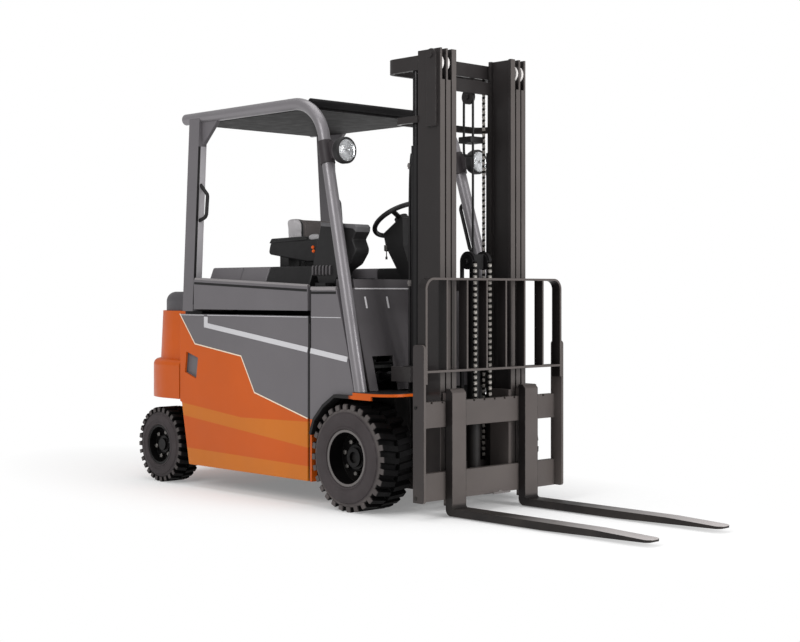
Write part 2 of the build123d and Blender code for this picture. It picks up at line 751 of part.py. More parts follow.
def roller_pair(stage, z):
    """Roller on a stage's web that runs in the next channel outwards."""
    y = rail_y(stage)
    x = MAST_FRONT - RAIL_DEPTH / 2
    reach = RAIL_PITCH - WEB - 6
    return rod_y(x, z, RAIL_DEPTH / 2 - FLANGE_T - ROLLER_GAP, y - reach, y + 1)


def hoop(z0, z1, rear, outer, thick, front):
    points = [(front, -outer), (rear, -outer), (rear, outer), (front, outer)]
    inner = [(front + 5, -outer + thick), (rear + thick, -outer + thick), (rear + thick, outer - thick),
             (front + 5, outer - thick)]
    return plan(points, z0, z1, [0, 70, 70, 0]) - plan(inner, z0 - 1, z1 + 1, [0, 70 - thick, 70 - thick, 0])


def mast_outer():
    x0 = MAST_FRONT - RAIL_DEPTH
    half = channel(0, MAST_BOTTOM, MAST_TOP, True)
    foot = block(PIVOT[0] - 36, x0 - 24, -MAST_HALF, -253, 120, LIFT_BASE)
    foot += block(x0 - 25, x0 + 5, -MAST_HALF, -MAST_HALF + FLANGE_W - 2, 120, LIFT_BASE)
    foot -= rod_y(PIVOT[0], PIVOT[1], PIVOT_R + PIN_GAP, -MAST_HALF - 1, -200)
    half += foot
    half += block(175, x0 - 24, -MAST_HALF, 0, 120, 180)
    px, pz = TILT_PIN
    y0, y1 = TILT_Y - 36, TILT_Y + 36
    for y in (y0 - 18, y1):
        half += slab([(px - 26, pz - 40), (x0 + 50, pz - 40), (x0 + 50, pz + 40), (px - 26, pz + 40)],
                     -y - 16, -y)
    half += block(x0 + 20, x0 + 50, -y1 - 16, -MAST_HALF + 2, pz - 40, pz + 40)
    half += rod_y(px, pz, TILT_PIN_R, -y1 - 4, -y0 + 8)
    x1, x2, drop = SIDE_POST
    eye = (x2 - x1) / 2
    half += slab([(x1, MAST_TOP - drop), (x2, MAST_TOP - drop), (x2, MAST_TOP), (x1, MAST_TOP)],
                 -MAST_HALF - 16, -MAST_HALF + 1, [0, 0, eye - 1, eye - 1])
    half += rod_y((x1 + x2) / 2, MAST_TOP - eye, 14, -MAST_HALF - 26, -MAST_HALF)
    ties = hoop(HOOP_LOW[0], HOOP_LOW[1], HOOP_LOW[2], MAST_HALF + 8, 20, x0 + 4)
    return half + left(half) + ties


def lift_barrels():
    tube = rod_z(LIFT_X, -LIFT_Y, LIFT_BARREL_R, LIFT_BASE, LIFT_BARREL_TOP)
    tube -= rod_z(LIFT_X, -LIFT_Y, LIFT_ROD_R + ROD_GAP, LIFT_BASE + 20, LIFT_BARREL_TOP + 1)
    return both(tube)


def mast_middle():
    x0 = MAST_FRONT - RAIL_DEPTH
    y = rail_y(1)
    half = channel(1, MAST_BOTTOM, MAST_TOP, True)
    half += roller_pair(1, MAST_BOTTOM + 80)
    half += block(LIFT_X - 30, x0 - 6, y - 30, y + FLANGE_W, HOOP_TOP[0], HOOP_TOP[1])
    half += block(x0 - 7, x0 + 2, y, y + FLANGE_W, HOOP_TOP[0], HOOP_TOP[1])
    half += block(x0 - 18, x0 - 6, y, 0, MAST_BOTTOM, MAST_BOTTOM + 150)
    half += block(x0 - 7, x0 + 1, y, y + FLANGE_W, MAST_BOTTOM, MAST_BOTTOM + 150)
    half += block(x0 - 18, x0 - 6, y, 0, HOOP_TOP[0], HOOP_TOP[1])
    ties = hoop(HOOP_TOP[0], HOOP_TOP[1], HOOP_TOP[2], MAST_HALF - 5, 22, x0 - 6)
    px, py, pz = HOSE_PULLEY
    pulley = rod_y(px, pz, HOSE_PULLEY_R, py - 12, py + 12) - ring_y(px, pz, HOSE_PULLEY_R + 1, HOSE_PULLEY_R - 8,
                                                                     py - 6, py + 6)
    pulley += rod_y(px, pz, 14, py - 20, py + 20)
    pulley += slab([(px - 16, pz - 16), (px + 16, pz - 16), (x0 - 10, HOOP_TOP[1]), (x0 - 40, HOOP_TOP[1])],
                   py + 12, py + 20)
    return half + left(half) + ties + pulley


def mast_chains():
    """Chains that lift the inner stage, drawn tight between the middle stage's ties."""
    x = MAST_FRONT - RAIL_DEPTH - 12
    strand = block(x - 5, x + 5, -MAST_CHAIN_Y - 9, -MAST_CHAIN_Y + 9, MAST_BOTTOM + 150, HOOP_TOP[0])
    return both(strand)


def lift_rods():
    return both(rod_z(LIFT_X, -LIFT_Y, LIFT_ROD_R, LIFT_BASE + 60, HOOP_TOP[0]))


def mast_inner():
    x0 = MAST_FRONT - RAIL_DEPTH
    y = rail_y(2)
    half = channel(2, MAST_BOTTOM, MAST_TOP, False)
    half += roller_pair(2, MAST_BOTTOM + 80)
    for z0, z1 in ((MAST_BOTTOM, MAST_BOTTOM + 110), (1180, 1250), INNER_TIE):
        half += block(x0 + 6, x0 + 19, y + 1, 0, z0, z1)
    half += block(x0 + 6, FREE_X + 40, -160, 0, MAST_BOTTOM, MAST_BOTTOM + 35)
    return half + left(half)


def free_lift_barrel():
    barrel = rod_z(FREE_X, 0, FREE_BARREL_R, MAST_BOTTOM + 35, FREE_BARREL_TOP)
    return barrel - rod_z(FREE_X, 0, FREE_ROD_R + ROD_GAP, MAST_BOTTOM + 60, FREE_BARREL_TOP + 1)


def crosshead():
    head = rod_z(FREE_X, 0, FREE_ROD_R, MAST_BOTTOM + 80, SHEAVE_Z)
    head += block(FREE_X - 30, FREE_X + 40, -34, 34, SHEAVE_Z - 40, SHEAVE_Z + 40)
    head += rod_y(SHEAVE_X, SHEAVE_Z, 14, -88, 88)
    for s in (-1, 1):
        y = s * SHEAVE_Y
        head += rod_y(SHEAVE_X, SHEAVE_Z, SHEAVE_R, y - 14, y + 14)
        wrap = ring_y(SHEAVE_X, SHEAVE_Z, SHEAVE_R + CHAIN_T, SHEAVE_R - 1, y - 10, y + 10)
        head += wrap - block(SHEAVE_X - 90, SHEAVE_X + 90, y - 20, y + 20, SHEAVE_Z - 90, SHEAVE_Z + 6)
        head += block(SHEAVE_X - SHEAVE_R - CHAIN_T, SHEAVE_X - SHEAVE_R + 1, y - 10, y + 10,
                      620, SHEAVE_Z + 7)
    return head


def tilt_axis():
    """Start and unit direction of the right-hand tilt cylinder."""
    dx = TILT_PIN[0] - TILT_ANCHOR[0]
    dz = TILT_PIN[1] - TILT_ANCHOR[1]
    span = hypot(dx, dz)
    return span, dx / span, dz / span


def along(t):
    span, ux, uz = tilt_axis()
    return (TILT_ANCHOR[0] + t * ux, -TILT_Y, TILT_ANCHOR[1] + t * uz)


def tilt_barrels():
    span = tilt_axis()[0]
    end = span - 175
    tube = rod_between(along(64), along(end), TILT_BARREL_R)
    tube += rod_between(along(0), along(66), 17)
    tube += rod_y(TILT_ANCHOR[0], TILT_ANCHOR[1], 28, -TILT_Y - 18, -TILT_Y + 18)
    tube -= rod_y(TILT_ANCHOR[0], TILT_ANCHOR[1], TILT_PIN_R + PIN_GAP, -TILT_Y - 30, -TILT_Y + 30)
    tube -= rod_between(along(80), along(end + 5), TILT_ROD_R + ROD_GAP)
    return both(tube)


def tilt_rods():
    span = tilt_axis()[0]
    r = TILT_PIN_R + TILT_EYE_SLACK
    rod = rod_between(along(180), along(span - 30), TILT_ROD_R)
    rod += rod_y(TILT_PIN[0], TILT_PIN[1], r + 14, -TILT_Y - 26, -TILT_Y + 26)
    rod -= rod_y(TILT_PIN[0], TILT_PIN[1], r, -TILT_Y - 40, -TILT_Y + 40)
    return both(rod)


# carriage and forks

def carriage():
    x0 = BAR_FRONT - BAR_T
    inner = CARRIAGE_HALF - SIDE_T
    half = block(x0, BAR_FRONT, -inner - 1, 0, UPPER_BAR[0], UPPER_BAR[1])
    step, wide, deep = BAR_NOTCH
    for k in range(int(inner / step)):
        y = -(k + 0.5) * step
        half -= block(x0 - 1, BAR_FRONT + 1, y - wide / 2, y + wide / 2, UPPER_BAR[1] - deep, UPPER_BAR[1] + 1)
    half += block(x0, BAR_FRONT, -inner - 1, 0, LOWER_BAR[0], LOWER_BAR[1])
    half += slab([(SIDE_X[0], SIDE_Z[0]), (SIDE_X[1], SIDE_Z[0]), (SIDE_X[1], SIDE_Z[1]),
                  (SIDE_X[0], SIDE_Z[1])], -CARRIAGE_HALF, -inner, [0, 14, 20, 20])
    y = rail_y(2) + FLANGE_W
    half += block(MAST_FRONT - 130, x0 + 1, y + 8, y + 28, 120, 640)
    for z in (190, 570):
        half += rod_y(MAST_FRONT - RAIL_DEPTH / 2, z, RAIL_DEPTH / 2 - FLANGE_T - ROLLER_GAP, y - 16, y + 9)
    half += block(x0 - 32, x0 + 1, -SHEAVE_Y - 16, -SHEAVE_Y + 16, CHAIN_FOOT - 40, CHAIN_FOOT)
    return half + left(half)


def lift_chains():
    x0 = SHEAVE_X + SHEAVE_R + 0.5
    x1 = x0 + CHAIN_T
    links = int((SHEAVE_Z - CHAIN_FOOT) / CHAIN_PITCH)
    front = []
    for k in range(links):
        z = CHAIN_FOOT + k * CHAIN_PITCH
        front += [(x1, z), (x1 - CHAIN_WAIST, z + CHAIN_PITCH / 2)]
    front.append((x1, SHEAVE_Z))
    back = [(x0 + x1 - x, z) for x, z in reversed(front)]
    return both(slab(front + back, -SHEAVE_Y - CHAIN_W / 2, -SHEAVE_Y + CHAIN_W / 2))


def load_backrest():
    x0, x1 = REST_X
    t = REST_T
    foot = REST_LOW - 70
    outer = [(-REST_HALF, foot), (-REST_HALF, REST_TOP), (REST_HALF, REST_TOP), (REST_HALF, foot)]
    inner = [(-REST_HALF + t, foot - 1), (-REST_HALF + t, REST_TOP - t), (REST_HALF - t, REST_TOP - t),
             (REST_HALF - t, foot - 1)]
    loop = make_face(FilletPolyline(*outer, radius=[0, 60, 60, 0], close=True))
    loop -= make_face(FilletPolyline(*inner, radius=[0, 60 - t, 60 - t, 0], close=True))
    rest = extrude(Plane.YZ.offset(x0) * loop, amount=x1 - x0)
    rest += block(x0, x1, -REST_HALF + 1, REST_HALF - 1, REST_LOW - t, REST_LOW)
    pitch = 2 * (REST_HALF - t / 2) / (REST_BARS - 1)
    for k in range(1, REST_BARS - 1):
        y = -REST_HALF + t / 2 + pitch * k
        rest += block(x0, x1, y - 5, y + 5, REST_LOW - t + 1, REST_TOP - t + 1)
    return rest


def fork_right():
    x0 = BAR_FRONT + FORK_GAP
    x1 = x0 + FORK_T
    b = FORK_BOTTOM
    points = [(x0, FORK_TOP), (x0, b), (x1 + 620, b), (FORK_TIP, b + BLADE_T - 12 - TIP_T),
              (FORK_TIP, b + BLADE_T - 12), (FORK_TIP - 320, b + BLADE_T), (x1, b + BLADE_T),
              (x1, FORK_TOP - 20), (x1 - 20, FORK_TOP)]
    fork = slab(points, -FORK_Y - FORK_W / 2, -FORK_Y + FORK_W / 2, [0, 34, 0, 3, 3, 0, 14, 8, 8])
    y0, y1 = -FORK_Y - FORK_W / 2 + 8, -FORK_Y + FORK_W / 2 - 8
    back = BAR_FRONT - BAR_T
    fork += block(back + 6, x0 + 1, y0, y1, UPPER_BAR[1] + FORK_GAP, UPPER_BAR[1] + 42)
    fork += block(back + 12, x0 + 1, y0, y1, LOWER_BAR[0] - 34, LOWER_BAR[0] - FORK_GAP)
    tip = plan([(x0 - 60, -FORK_Y - FORK_W / 2), (FORK_TIP, -FORK_Y - FORK_W / 2),
                (FORK_TIP, -FORK_Y + FORK_W / 2), (x0 - 60, -FORK_Y + FORK_W / 2)], 0, FORK_TOP + 1,
               [0, 34, 34, 0])
    return fork & tip


PAIRS = {
    "front_tyre": front_tyre_right,
    "front_rim": front_rim_right,
    "rear_tyre": rear_tyre_right,
    "rear_rim": rear_rim_right,
    "knuckle": knuckle_right,
    "door_upper": door_upper_right,
    "door_lower": door_lower_right,
    "fork": fork_right,
}

SINGLES = [
    chassis_frame, battery_block, counterweight, counterweight_cover, drive_axle, steer_axle,
    front_panels, front_fenders, floor_plate, front_cowl, steering_column, steering_wheel,
    guard_side_tubes, guard_rear_pillars, guard_roof, guard_handles, headlamps, side_console,
    battery_hood, seat_base, seat_cushion, seat_back, armrest,
    mast_outer, lift_barrels, mast_middle, lift_rods, mast_chains, mast_inner, free_lift_barrel, crosshead,
    tilt_barrels, tilt_rods, carriage, lift_chains, load_backrest,
]


def place(shape):
    return Pos(-(CW_REAR + FORK_TIP) / 2, 0, 0) * shape


def save(shape, name):
    export_step(place(shape), "parts/" + name + ".step")


def main():
    os.makedirs("parts", exist_ok=True)
    for name, make in PAIRS.items():
        shape = make()
        save(shape, name + "_right")
        save(left(shape), name + "_left")
    for make in SINGLES:
        save(make(), make.__name__)


if __name__ == "__main__":
    main()
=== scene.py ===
from math import cos, pi, radians, sin

import bmesh
import bpy
from mathutils import Matrix, Vector


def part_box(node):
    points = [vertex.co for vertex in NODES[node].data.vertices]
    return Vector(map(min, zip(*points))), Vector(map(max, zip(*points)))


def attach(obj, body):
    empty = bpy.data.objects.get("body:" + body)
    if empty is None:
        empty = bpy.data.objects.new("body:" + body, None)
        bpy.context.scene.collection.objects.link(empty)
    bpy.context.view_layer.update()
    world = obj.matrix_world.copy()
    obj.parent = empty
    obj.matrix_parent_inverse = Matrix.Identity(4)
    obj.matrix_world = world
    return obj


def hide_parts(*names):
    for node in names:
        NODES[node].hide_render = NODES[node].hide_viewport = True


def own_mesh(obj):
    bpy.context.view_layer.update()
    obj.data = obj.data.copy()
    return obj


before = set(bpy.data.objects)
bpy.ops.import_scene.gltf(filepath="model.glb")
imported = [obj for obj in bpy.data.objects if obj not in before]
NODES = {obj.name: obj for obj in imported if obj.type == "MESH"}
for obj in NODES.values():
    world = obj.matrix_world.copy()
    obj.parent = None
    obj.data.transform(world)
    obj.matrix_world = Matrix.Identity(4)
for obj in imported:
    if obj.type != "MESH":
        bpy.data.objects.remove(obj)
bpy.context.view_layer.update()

# View of the truck: camera place in metres, turn from +Y in degrees, lens in mm, share of the width.
CAMERA_AT = (6.0283, -5.7917, 1.1706)
CAMERA_TURN = 46.4207
LENS = 65.95
HORIZON_SHIFT = -0.0352
SIDES = {"right": -1, "left": 1}


def linear(level):
    level /= 255
    return level / 12.92 if level <= 0.04045 else ((level + 0.055) / 1.055) ** 2.4


def colour(red, green, blue):
    return (linear(red), linear(green), linear(blue), 1.0)


ORANGE = colour(190, 82, 8)
# Lighter orange of the door bands is a painted reflection of the light on the door's pressed facets.
ORANGE_REFLECTION = colour(192, 106, 22)
PANEL_GREY = colour(102, 99, 102)
CAP_GREY = colour(76, 74, 77)
TUBE_GREY = colour(124, 121, 124)
COWL_GREY = colour(72, 69, 71)
SOOT = colour(26, 25, 26)
LINING_GREY = colour(20, 18, 18)
MAST_DARK = colour(44, 41, 41)
# The mast's flange front colour is a painted highlight from the light in front.
FLANGE_LIT_GREY = colour(84, 79, 77)
CARRIAGE_GREY = colour(86, 80, 78)
# Side plate colour is painted shade on faces turned away from the light.
PLATE_SHADE = colour(52, 48, 48)
# Bar side colour is painted shade on the sides of the backrest bars and forks.
BAR_SHADE = colour(34, 31, 31)
BLADE_BRIGHT = colour(196, 190, 189)
# Tread colour is darkened as painted shade on the tread.
TREAD_SHADE = colour(6, 5, 6)
SIDEWALL = colour(64, 59, 60)
LUG_SIDE = colour(84, 79, 78)
PILLAR_LIT_FACE = colour(170, 167, 170)
# The pillar's pale front face colour is painted light.
STEEL = colour(168, 165, 160)
BARE_STEEL = colour(120, 116, 112)
CHROME = colour(205, 205, 208)
# This dark colour is oil on bare steel, and painted shade between the chains' link plates.
OIL_AND_SHADE = colour(24, 22, 20)
PLASTIC = colour(24, 23, 24)
VINYL = colour(20, 19, 20)
INSERT = colour(86, 80, 79)
# Pale seat side colour is a painted highlight on the back rest's curved sides.
SEAT_SIDE_HIGHLIGHT = colour(176, 173, 175)
DUST = colour(118, 110, 100)
# This cream colour is a painted highlight along the chamfered edge of the door divide.
DIVIDE_HIGHLIGHT = colour(232, 214, 192)
KNOB_GREY = colour(150, 148, 150)
BUTTON = colour(222, 92, 24)


# Shader wiring

class Wiring:
    """Adds nodes to a tree and links them."""

    def __init__(self, tree):
        self.tree = tree

    def feed(self, socket, value):
        if isinstance(value, bpy.types.NodeSocket):
            self.tree.links.new(value, socket)
        else:
            socket.default_value = value

    def fill(self, node, feeds):
        for name, value in feeds.items():
            self.feed(node.inputs[name], value)
        return node

    def add(self, kind, feeds=None, **settings):
        made = self.tree.nodes.new(kind)
        for name, value in settings.items():
            setattr(made, name, value)
        return self.fill(made, feeds or {})

    def math(self, operation, a, b=0.0, clamp=False):
        return self.add("ShaderNodeMath", {0: a, 1: b}, operation=operation, use_clamp=clamp).outputs[0]

    def times(self, a, b, clamp=False):
        return self.math("MULTIPLY", a, b, clamp)

    def plus(self, a, b, clamp=False):
        return self.math("ADD", a, b, clamp)

    def less(self, a, b):
        return self.math("SUBTRACT", a, b)

    def either(self, a, b):
        return self.math("MAXIMUM", a, b)

    def size(self, a):
        return self.math("ABSOLUTE", a)

    def mix(self, factor, a, b):
        return self.add("ShaderNodeMix", {0: factor, 6: a, 7: b}, data_type="RGBA").outputs[2]

    def ramp(self, value, low, high, start=0.0, end=1.0):
        feeds = {"Value": value, "From Min": low, "From Max": high, "To Min": start, "To Max": end}
        return self.add("ShaderNodeMapRange", feeds).outputs["Result"]

    def over(self, value, level, soft):
        return self.ramp(value, level, level + soft)

    def under(self, value, level, soft):
        return self.ramp(value, level, level - soft)

    def within(self, value, low, high):
        return self.times(self.over(value, low, 0.001), self.under(value, high, 0.001))

    def place(self):
        return self.add("ShaderNodeTexCoord").outputs["Object"]

    def noise(self, vector, scale, detail=3.0):
        made = self.add("ShaderNodeTexNoise", {"Vector": vector, "Scale": scale, "Detail": detail})
        return made.outputs["Fac"]

    def stretched(self, vector, scale):
        return self.add("ShaderNodeMapping", {"Vector": vector, "Scale": scale}).outputs["Vector"]

    def split(self, vector):
        return self.add("ShaderNodeSeparateXYZ", {"Vector": vector}).outputs


def shader_group(name, inputs, outputs):
    group = bpy.data.node_groups.new(name, "ShaderNodeTree")
    for label, kind, value in inputs:
        socket = group.interface.new_socket(label, in_out="INPUT", socket_type=kind)
        socket.default_value = value
    for label, kind in outputs:
        group.interface.new_socket(label, in_out="OUTPUT", socket_type=kind)
    start = group.nodes.new("NodeGroupInput").outputs
    end = group.nodes.new("NodeGroupOutput").inputs
    return group, Wiring(group), start, end


FLOAT, COLOUR, VECTOR = "NodeSocketFloat", "NodeSocketColor", "NodeSocketVector"


def mottled(w, start, place, scale, detail):
    """The group's colour, made lighter and darker in clouds."""
    cloud = w.noise(place, scale, detail)
    level = w.ramp(cloud, 0.3, 0.7, w.less(1.0, start["Mottle"]), w.plus(1.0, start["Mottle"]))
    return w.add("ShaderNodeVectorMath", {0: start["Colour"], "Scale": level}, operation="SCALE").outputs[0]


def build_paint_film():
    """Paint with mottling, fine peel, rubbed edges and dust that settles near the floor."""
    inputs = [("Colour", COLOUR, ORANGE), ("Worn Colour", COLOUR, BARE_STEEL), ("Base Roughness", FLOAT, 0.4),
              ("Edge Width", FLOAT, 0.003), ("Wear", FLOAT, 0.3), ("Mottle", FLOAT, 0.06),
              ("Peel Scale", FLOAT, 700.0), ("Dust Height", FLOAT, 0.7), ("Dust", FLOAT, 0.2)]
    outputs = [("Colour", COLOUR), ("Roughness", FLOAT), ("Height", FLOAT), ("Normal", VECTOR)]
    group, w, start, end = shader_group("paint_film", inputs, outputs)
    place = w.place()
    tone = mottled(w, start, place, 2.6, 5.0)
    rounded = w.add("ShaderNodeBevel", {"Radius": start["Edge Width"]}, samples=4).outputs[0]
    flat = w.add("ShaderNodeNewGeometry").outputs["Normal"]
    facing = w.add("ShaderNodeVectorMath", {0: rounded, 1: flat}, operation="DOT_PRODUCT").outputs["Value"]
    edge = w.ramp(facing, 0.985, 0.9)
    scuff = w.ramp(w.noise(place, 38.0, 4.0), 0.45, 0.62)
    rub = w.times(w.times(edge, scuff), start["Wear"], clamp=True)
    low = w.ramp(w.split(place)["Z"], 0.0, start["Dust Height"], 1.0, 0.0)
    settle = w.ramp(w.noise(place, 7.0, 6.0), 0.35, 0.75)
    dusty = w.times(w.times(low, settle), start["Dust"], clamp=True)
    worn = w.mix(rub, tone, start["Worn Colour"])
    w.feed(end["Colour"], w.mix(dusty, worn, DUST))
    drift = w.ramp(w.noise(place, 14.0, 4.0), 0.3, 0.7, -0.05, 0.05)
    rough = w.plus(w.plus(start["Base Roughness"], drift), w.times(dusty, 0.3), clamp=True)
    w.feed(end["Roughness"], rough)
    w.feed(end["Height"], w.noise(place, start["Peel Scale"], 2.0))
    w.feed(end["Normal"], rounded)
    return group


def build_moulded_grain():
    """Pebbled grain of moulded plastic and vinyl."""
    inputs = [("Colour", COLOUR, PLASTIC), ("Grain Scale", FLOAT, 500.0), ("Mottle", FLOAT, 0.15),
              ("Base Roughness", FLOAT, 0.55)]
    outputs = [("Colour", COLOUR), ("Roughness", FLOAT), ("Height", FLOAT)]
    group, w, start, end = shader_group("moulded_grain", inputs, outputs)
    place = w.place()
    pebble = w.add("ShaderNodeTexVoronoi", {"Vector": place, "Scale": start["Grain Scale"]}).outputs["Distance"]
    w.feed(end["Colour"], mottled(w, start, place, 6.0, 4.0))
    sheen = w.ramp(w.noise(place, 22.0, 3.0), 0.3, 0.7, -0.08, 0.08)
    w.feed(end["Roughness"], w.plus(start["Base Roughness"], sheen, clamp=True))
    w.feed(end["Height"], pebble)
    return group


def build_rubbed_steel():
    """Steel with oil film and fine lines along one direction."""
    inputs = [("Bright", COLOUR, STEEL), ("Dark", COLOUR, OIL_AND_SHADE), ("Oil", FLOAT, 0.4), ("Lines", VECTOR, (400, 400, 6)),
              ("Base Roughness", FLOAT, 0.3)]
    outputs = [("Colour", COLOUR), ("Roughness", FLOAT), ("Height", FLOAT)]
    group, w, start, end = shader_group("rubbed_steel", inputs, outputs)
    place = w.place()
    lines = w.noise(w.stretched(place, start["Lines"]), 1.0, 3.0)
    stain = w.times(w.ramp(w.noise(place, 18.0, 5.0), 0.35, 0.65), start["Oil"], clamp=True)
    w.feed(end["Colour"], w.mix(stain, start["Bright"], start["Dark"]))
    drift = w.ramp(lines, 0.3, 0.7, -0.08, 0.08)
    w.feed(end["Roughness"], w.plus(start["Base Roughness"], drift, clamp=True))
    w.feed(end["Height"], lines)
    return group


PAINT_FILM = build_paint_film()
MOULDED_GRAIN = build_moulded_grain()
RUBBED_STEEL = build_rubbed_steel()


DUST_HEIGHT = 0.7
GRAIN_DEPTH = 0.0006
LINE_DEPTH = 0.0003


def blank_material(name):
    material = bpy.data.materials.new(name)
    material.use_nodes = True
    w = Wiring(material.node_tree)
    return material, w, material.node_tree.nodes["Principled BSDF"]


def bump_into(w, shader, height, strength, depth, normal=None):
    feeds = {"Strength": strength, "Distance": depth, "Height": height}
    if normal is not None:
        feeds["Normal"] = normal
    w.feed(shader.inputs["Normal"], w.add("ShaderNodeBump", feeds).outputs["Normal"])


def painted(name, paint, roughness, wear=0.25, mottle=0.05, peel=700.0, dust=0.1, coat=0.0, edge=0.003,
            strength=0.12, metal=0.0, gloss=0.2):
    """Painted metal. Paint is one colour, or a function that wires a pattern of colours."""
    material, w, shader = blank_material(name)
    values = {"Colour": paint(w) if callable(paint) else paint, "Worn Colour": BARE_STEEL,
              "Base Roughness": roughness, "Edge Width": edge, "Wear": wear, "Mottle": mottle, "Peel Scale": peel,
              "Dust Height": DUST_HEIGHT, "Dust": dust}
    film = w.add("ShaderNodeGroup", values, node_tree=PAINT_FILM).outputs
    w.fill(shader, {"Base Color": film["Colour"], "Roughness": film["Roughness"], "Coat Weight": coat,
                    "Coat Roughness": 0.12, "Metallic": metal, "Specular IOR Level": gloss})
    bump_into(w, shader, film["Height"], strength, GRAIN_DEPTH, film["Normal"])
    return material


def moulded(name, tone, roughness=0.55, grain=500.0, strength=0.25, sheen=0.0, gloss=0.3):
    """Moulded plastic, vinyl or rubber."""
    material, w, shader = blank_material(name)
    values = {"Colour": tone(w) if callable(tone) else tone, "Grain Scale": grain, "Base Roughness": roughness}
    grained = w.add("ShaderNodeGroup", values, node_tree=MOULDED_GRAIN).outputs
    w.fill(shader, {"Base Color": grained["Colour"], "Roughness": grained["Roughness"], "Sheen Weight": sheen,
                    "Specular IOR Level": gloss})
    bump_into(w, shader, grained["Height"], strength, GRAIN_DEPTH)
    return material


def steel(name, bright, roughness, oil=0.4, lines=(400, 400, 6), strength=0.1):
    """Bare steel with an oil film."""
    material, w, shader = blank_material(name)
    values = {"Bright": bright, "Dark": OIL_AND_SHADE, "Oil": oil, "Lines": lines, "Base Roughness": roughness}
    rubbed = w.add("ShaderNodeGroup", values, node_tree=RUBBED_STEEL).outputs
    w.fill(shader, {"Base Color": rubbed["Colour"], "Roughness": rubbed["Roughness"], "Metallic": 1.0})
    bump_into(w, shader, rubbed["Height"], strength, LINE_DEPTH)
    return material


# Front axle's place, from which the body's lines are measured, and the lines in metres.
AXLE_X = sum(corner.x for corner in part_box("front_rim_right")) / 2
SKIN_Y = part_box("door_lower_left")[1].y
BAND_BEND = (-0.938, 0.450)
BAND_TOP_SLOPES = (-0.095, 0.022)
BAND_LOW = (-0.329, 0.316, -0.0925)
FOOT_TOP = (-0.329, 0.218, -0.0158)
LINE_SOFT = 0.004
LIP_TOP = 0.478
LIP_SIDE_X = 0.02
LIP_FRONT_X = 0.2
CAST_FRONT = -1.5555
PANEL_REAR = -0.317
GRIP_X = (-1.505, -1.352)
GRIP_Z = (0.645, 0.822)
GRIP_DEPTH = 0.012
ROOF_BAR_X = -0.47
PILLAR_FACE = (1.06, -1.416, -0.0127)
PILLAR_SKIN = (1.06, 0.6, -0.0526)
PILLAR_FACE_Z = (1.1, 2.06)
PILLAR_EDGE_STRIP = 0.018
RUBBED_SHARES = (0.3, 0.95)
BLADE_TOP = 0.065
CHAIN_PITCH = 0.0159
LINK_BRIGHT = colour(186, 181, 175)
LUG_END = 0.022
SHOULDER_SHARES = (0.84, 0.87)
INSERT_HALF = 0.15
INSERT_EDGE = 0.016
INSERT_FOOT = 1.4
SEAM_FROM = (0.095, 1.53)
SEAM_TO = (0.025, 1.42)


def from_axle(w):
    """Distance ahead of the front axle, and the other two axes."""
    axes = w.split(w.place())
    return w.less(axes["X"], AXLE_X), axes["Y"], axes["Z"]


def above_line(w, x, z, line):
    """Height above a sloping line that is given by a point and a slope."""
    at, level, slope = line
    return w.less(w.less(z, level), w.times(w.less(x, at), slope))


def centre_of(node):
    low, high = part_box(node)
    return (low + high) / 2


def door_bands(w):
    """Orange with two lighter bands of painted reflection along the lower door, and grey inside the hand grip."""
    x, y, z = from_axle(w)
    rear, front = [above_line(w, x, z, (*BAND_BEND, slope)) for slope in BAND_TOP_SLOPES]
    under_top = w.under(w.math("MINIMUM", rear, front), 0.0, LINE_SOFT)
    over_low = w.over(above_line(w, x, z, BAND_LOW), 0.0, LINE_SOFT)
    foot = w.under(above_line(w, x, z, FOOT_TOP), 0.0, LINE_SOFT)
    paint = w.mix(w.either(w.times(under_top, over_low), foot), ORANGE, ORANGE_REFLECTION)
    deep = w.under(w.size(y), SKIN_Y - GRIP_DEPTH, 0.002)
    grip = w.times(w.within(x, *GRIP_X), w.within(z, *GRIP_Z))
    return w.mix(w.times(grip, deep), paint, PANEL_GREY)


def cast_tones(w):
    """Orange casting, black on its core as painted shade, which shows only in the gap under the hood."""
    return w.mix(w.over(from_axle(w)[0], CAST_FRONT, 0.003), ORANGE, SOOT)


def panel_tones(w):
    """Grey front panels with an orange wheel arch lip, and a black return along the door gap as painted shade."""
    x, y, z = from_axle(w)
    skin = w.mix(w.under(z, LIP_TOP, 0.002), PANEL_GREY, ORANGE)
    return w.mix(w.under(x, PANEL_REAR + 0.002, 0.002), skin, SOOT)


def fender_tones(w):
    """Black arch and top, with an orange lip ahead of the pillar."""
    x, y, z = from_axle(w)
    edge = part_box("front_fenders")[1]
    outside = w.over(w.size(y), edge.y - 0.012, 0.002)
    below = w.under(z, edge.z - 0.002, 0.003)
    beside = w.times(w.times(outside, w.over(x, LIP_SIDE_X, 0.03)), below)
    return w.mix(w.either(beside, w.times(w.over(x, LIP_FRONT_X, 0.01), below)), SOOT, ORANGE)


def roof_tones(w):
    """Grey lining and bars, with a black front bar."""
    return w.mix(w.over(from_axle(w)[0], ROOF_BAR_X, 0.004), LINING_GREY, SOOT)


def mast_tones(w):
    """Dark rails whose front flange faces are painted lighter, a painted highlight from the light in front."""
    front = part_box("mast_inner")[1].x
    return w.mix(w.over(w.split(w.place())["X"], front - 0.004, 0.002), MAST_DARK, FLANGE_LIT_GREY)


def carriage_tones(w):
    """Carriage grey, with painted shade on the outer faces of its side plates."""
    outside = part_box("carriage")[1].y
    return w.mix(w.over(w.size(w.split(w.place())["Y"]), outside - 0.003, 0.002), CARRIAGE_GREY, PLATE_SHADE)


def backrest_tones(w):
    """Bars in painted shade, lighter on their front faces as painted light."""
    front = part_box("load_backrest")[1].x
    return w.mix(w.over(w.split(w.place())["X"], front - 0.004, 0.002), BAR_SHADE, CARRIAGE_GREY)


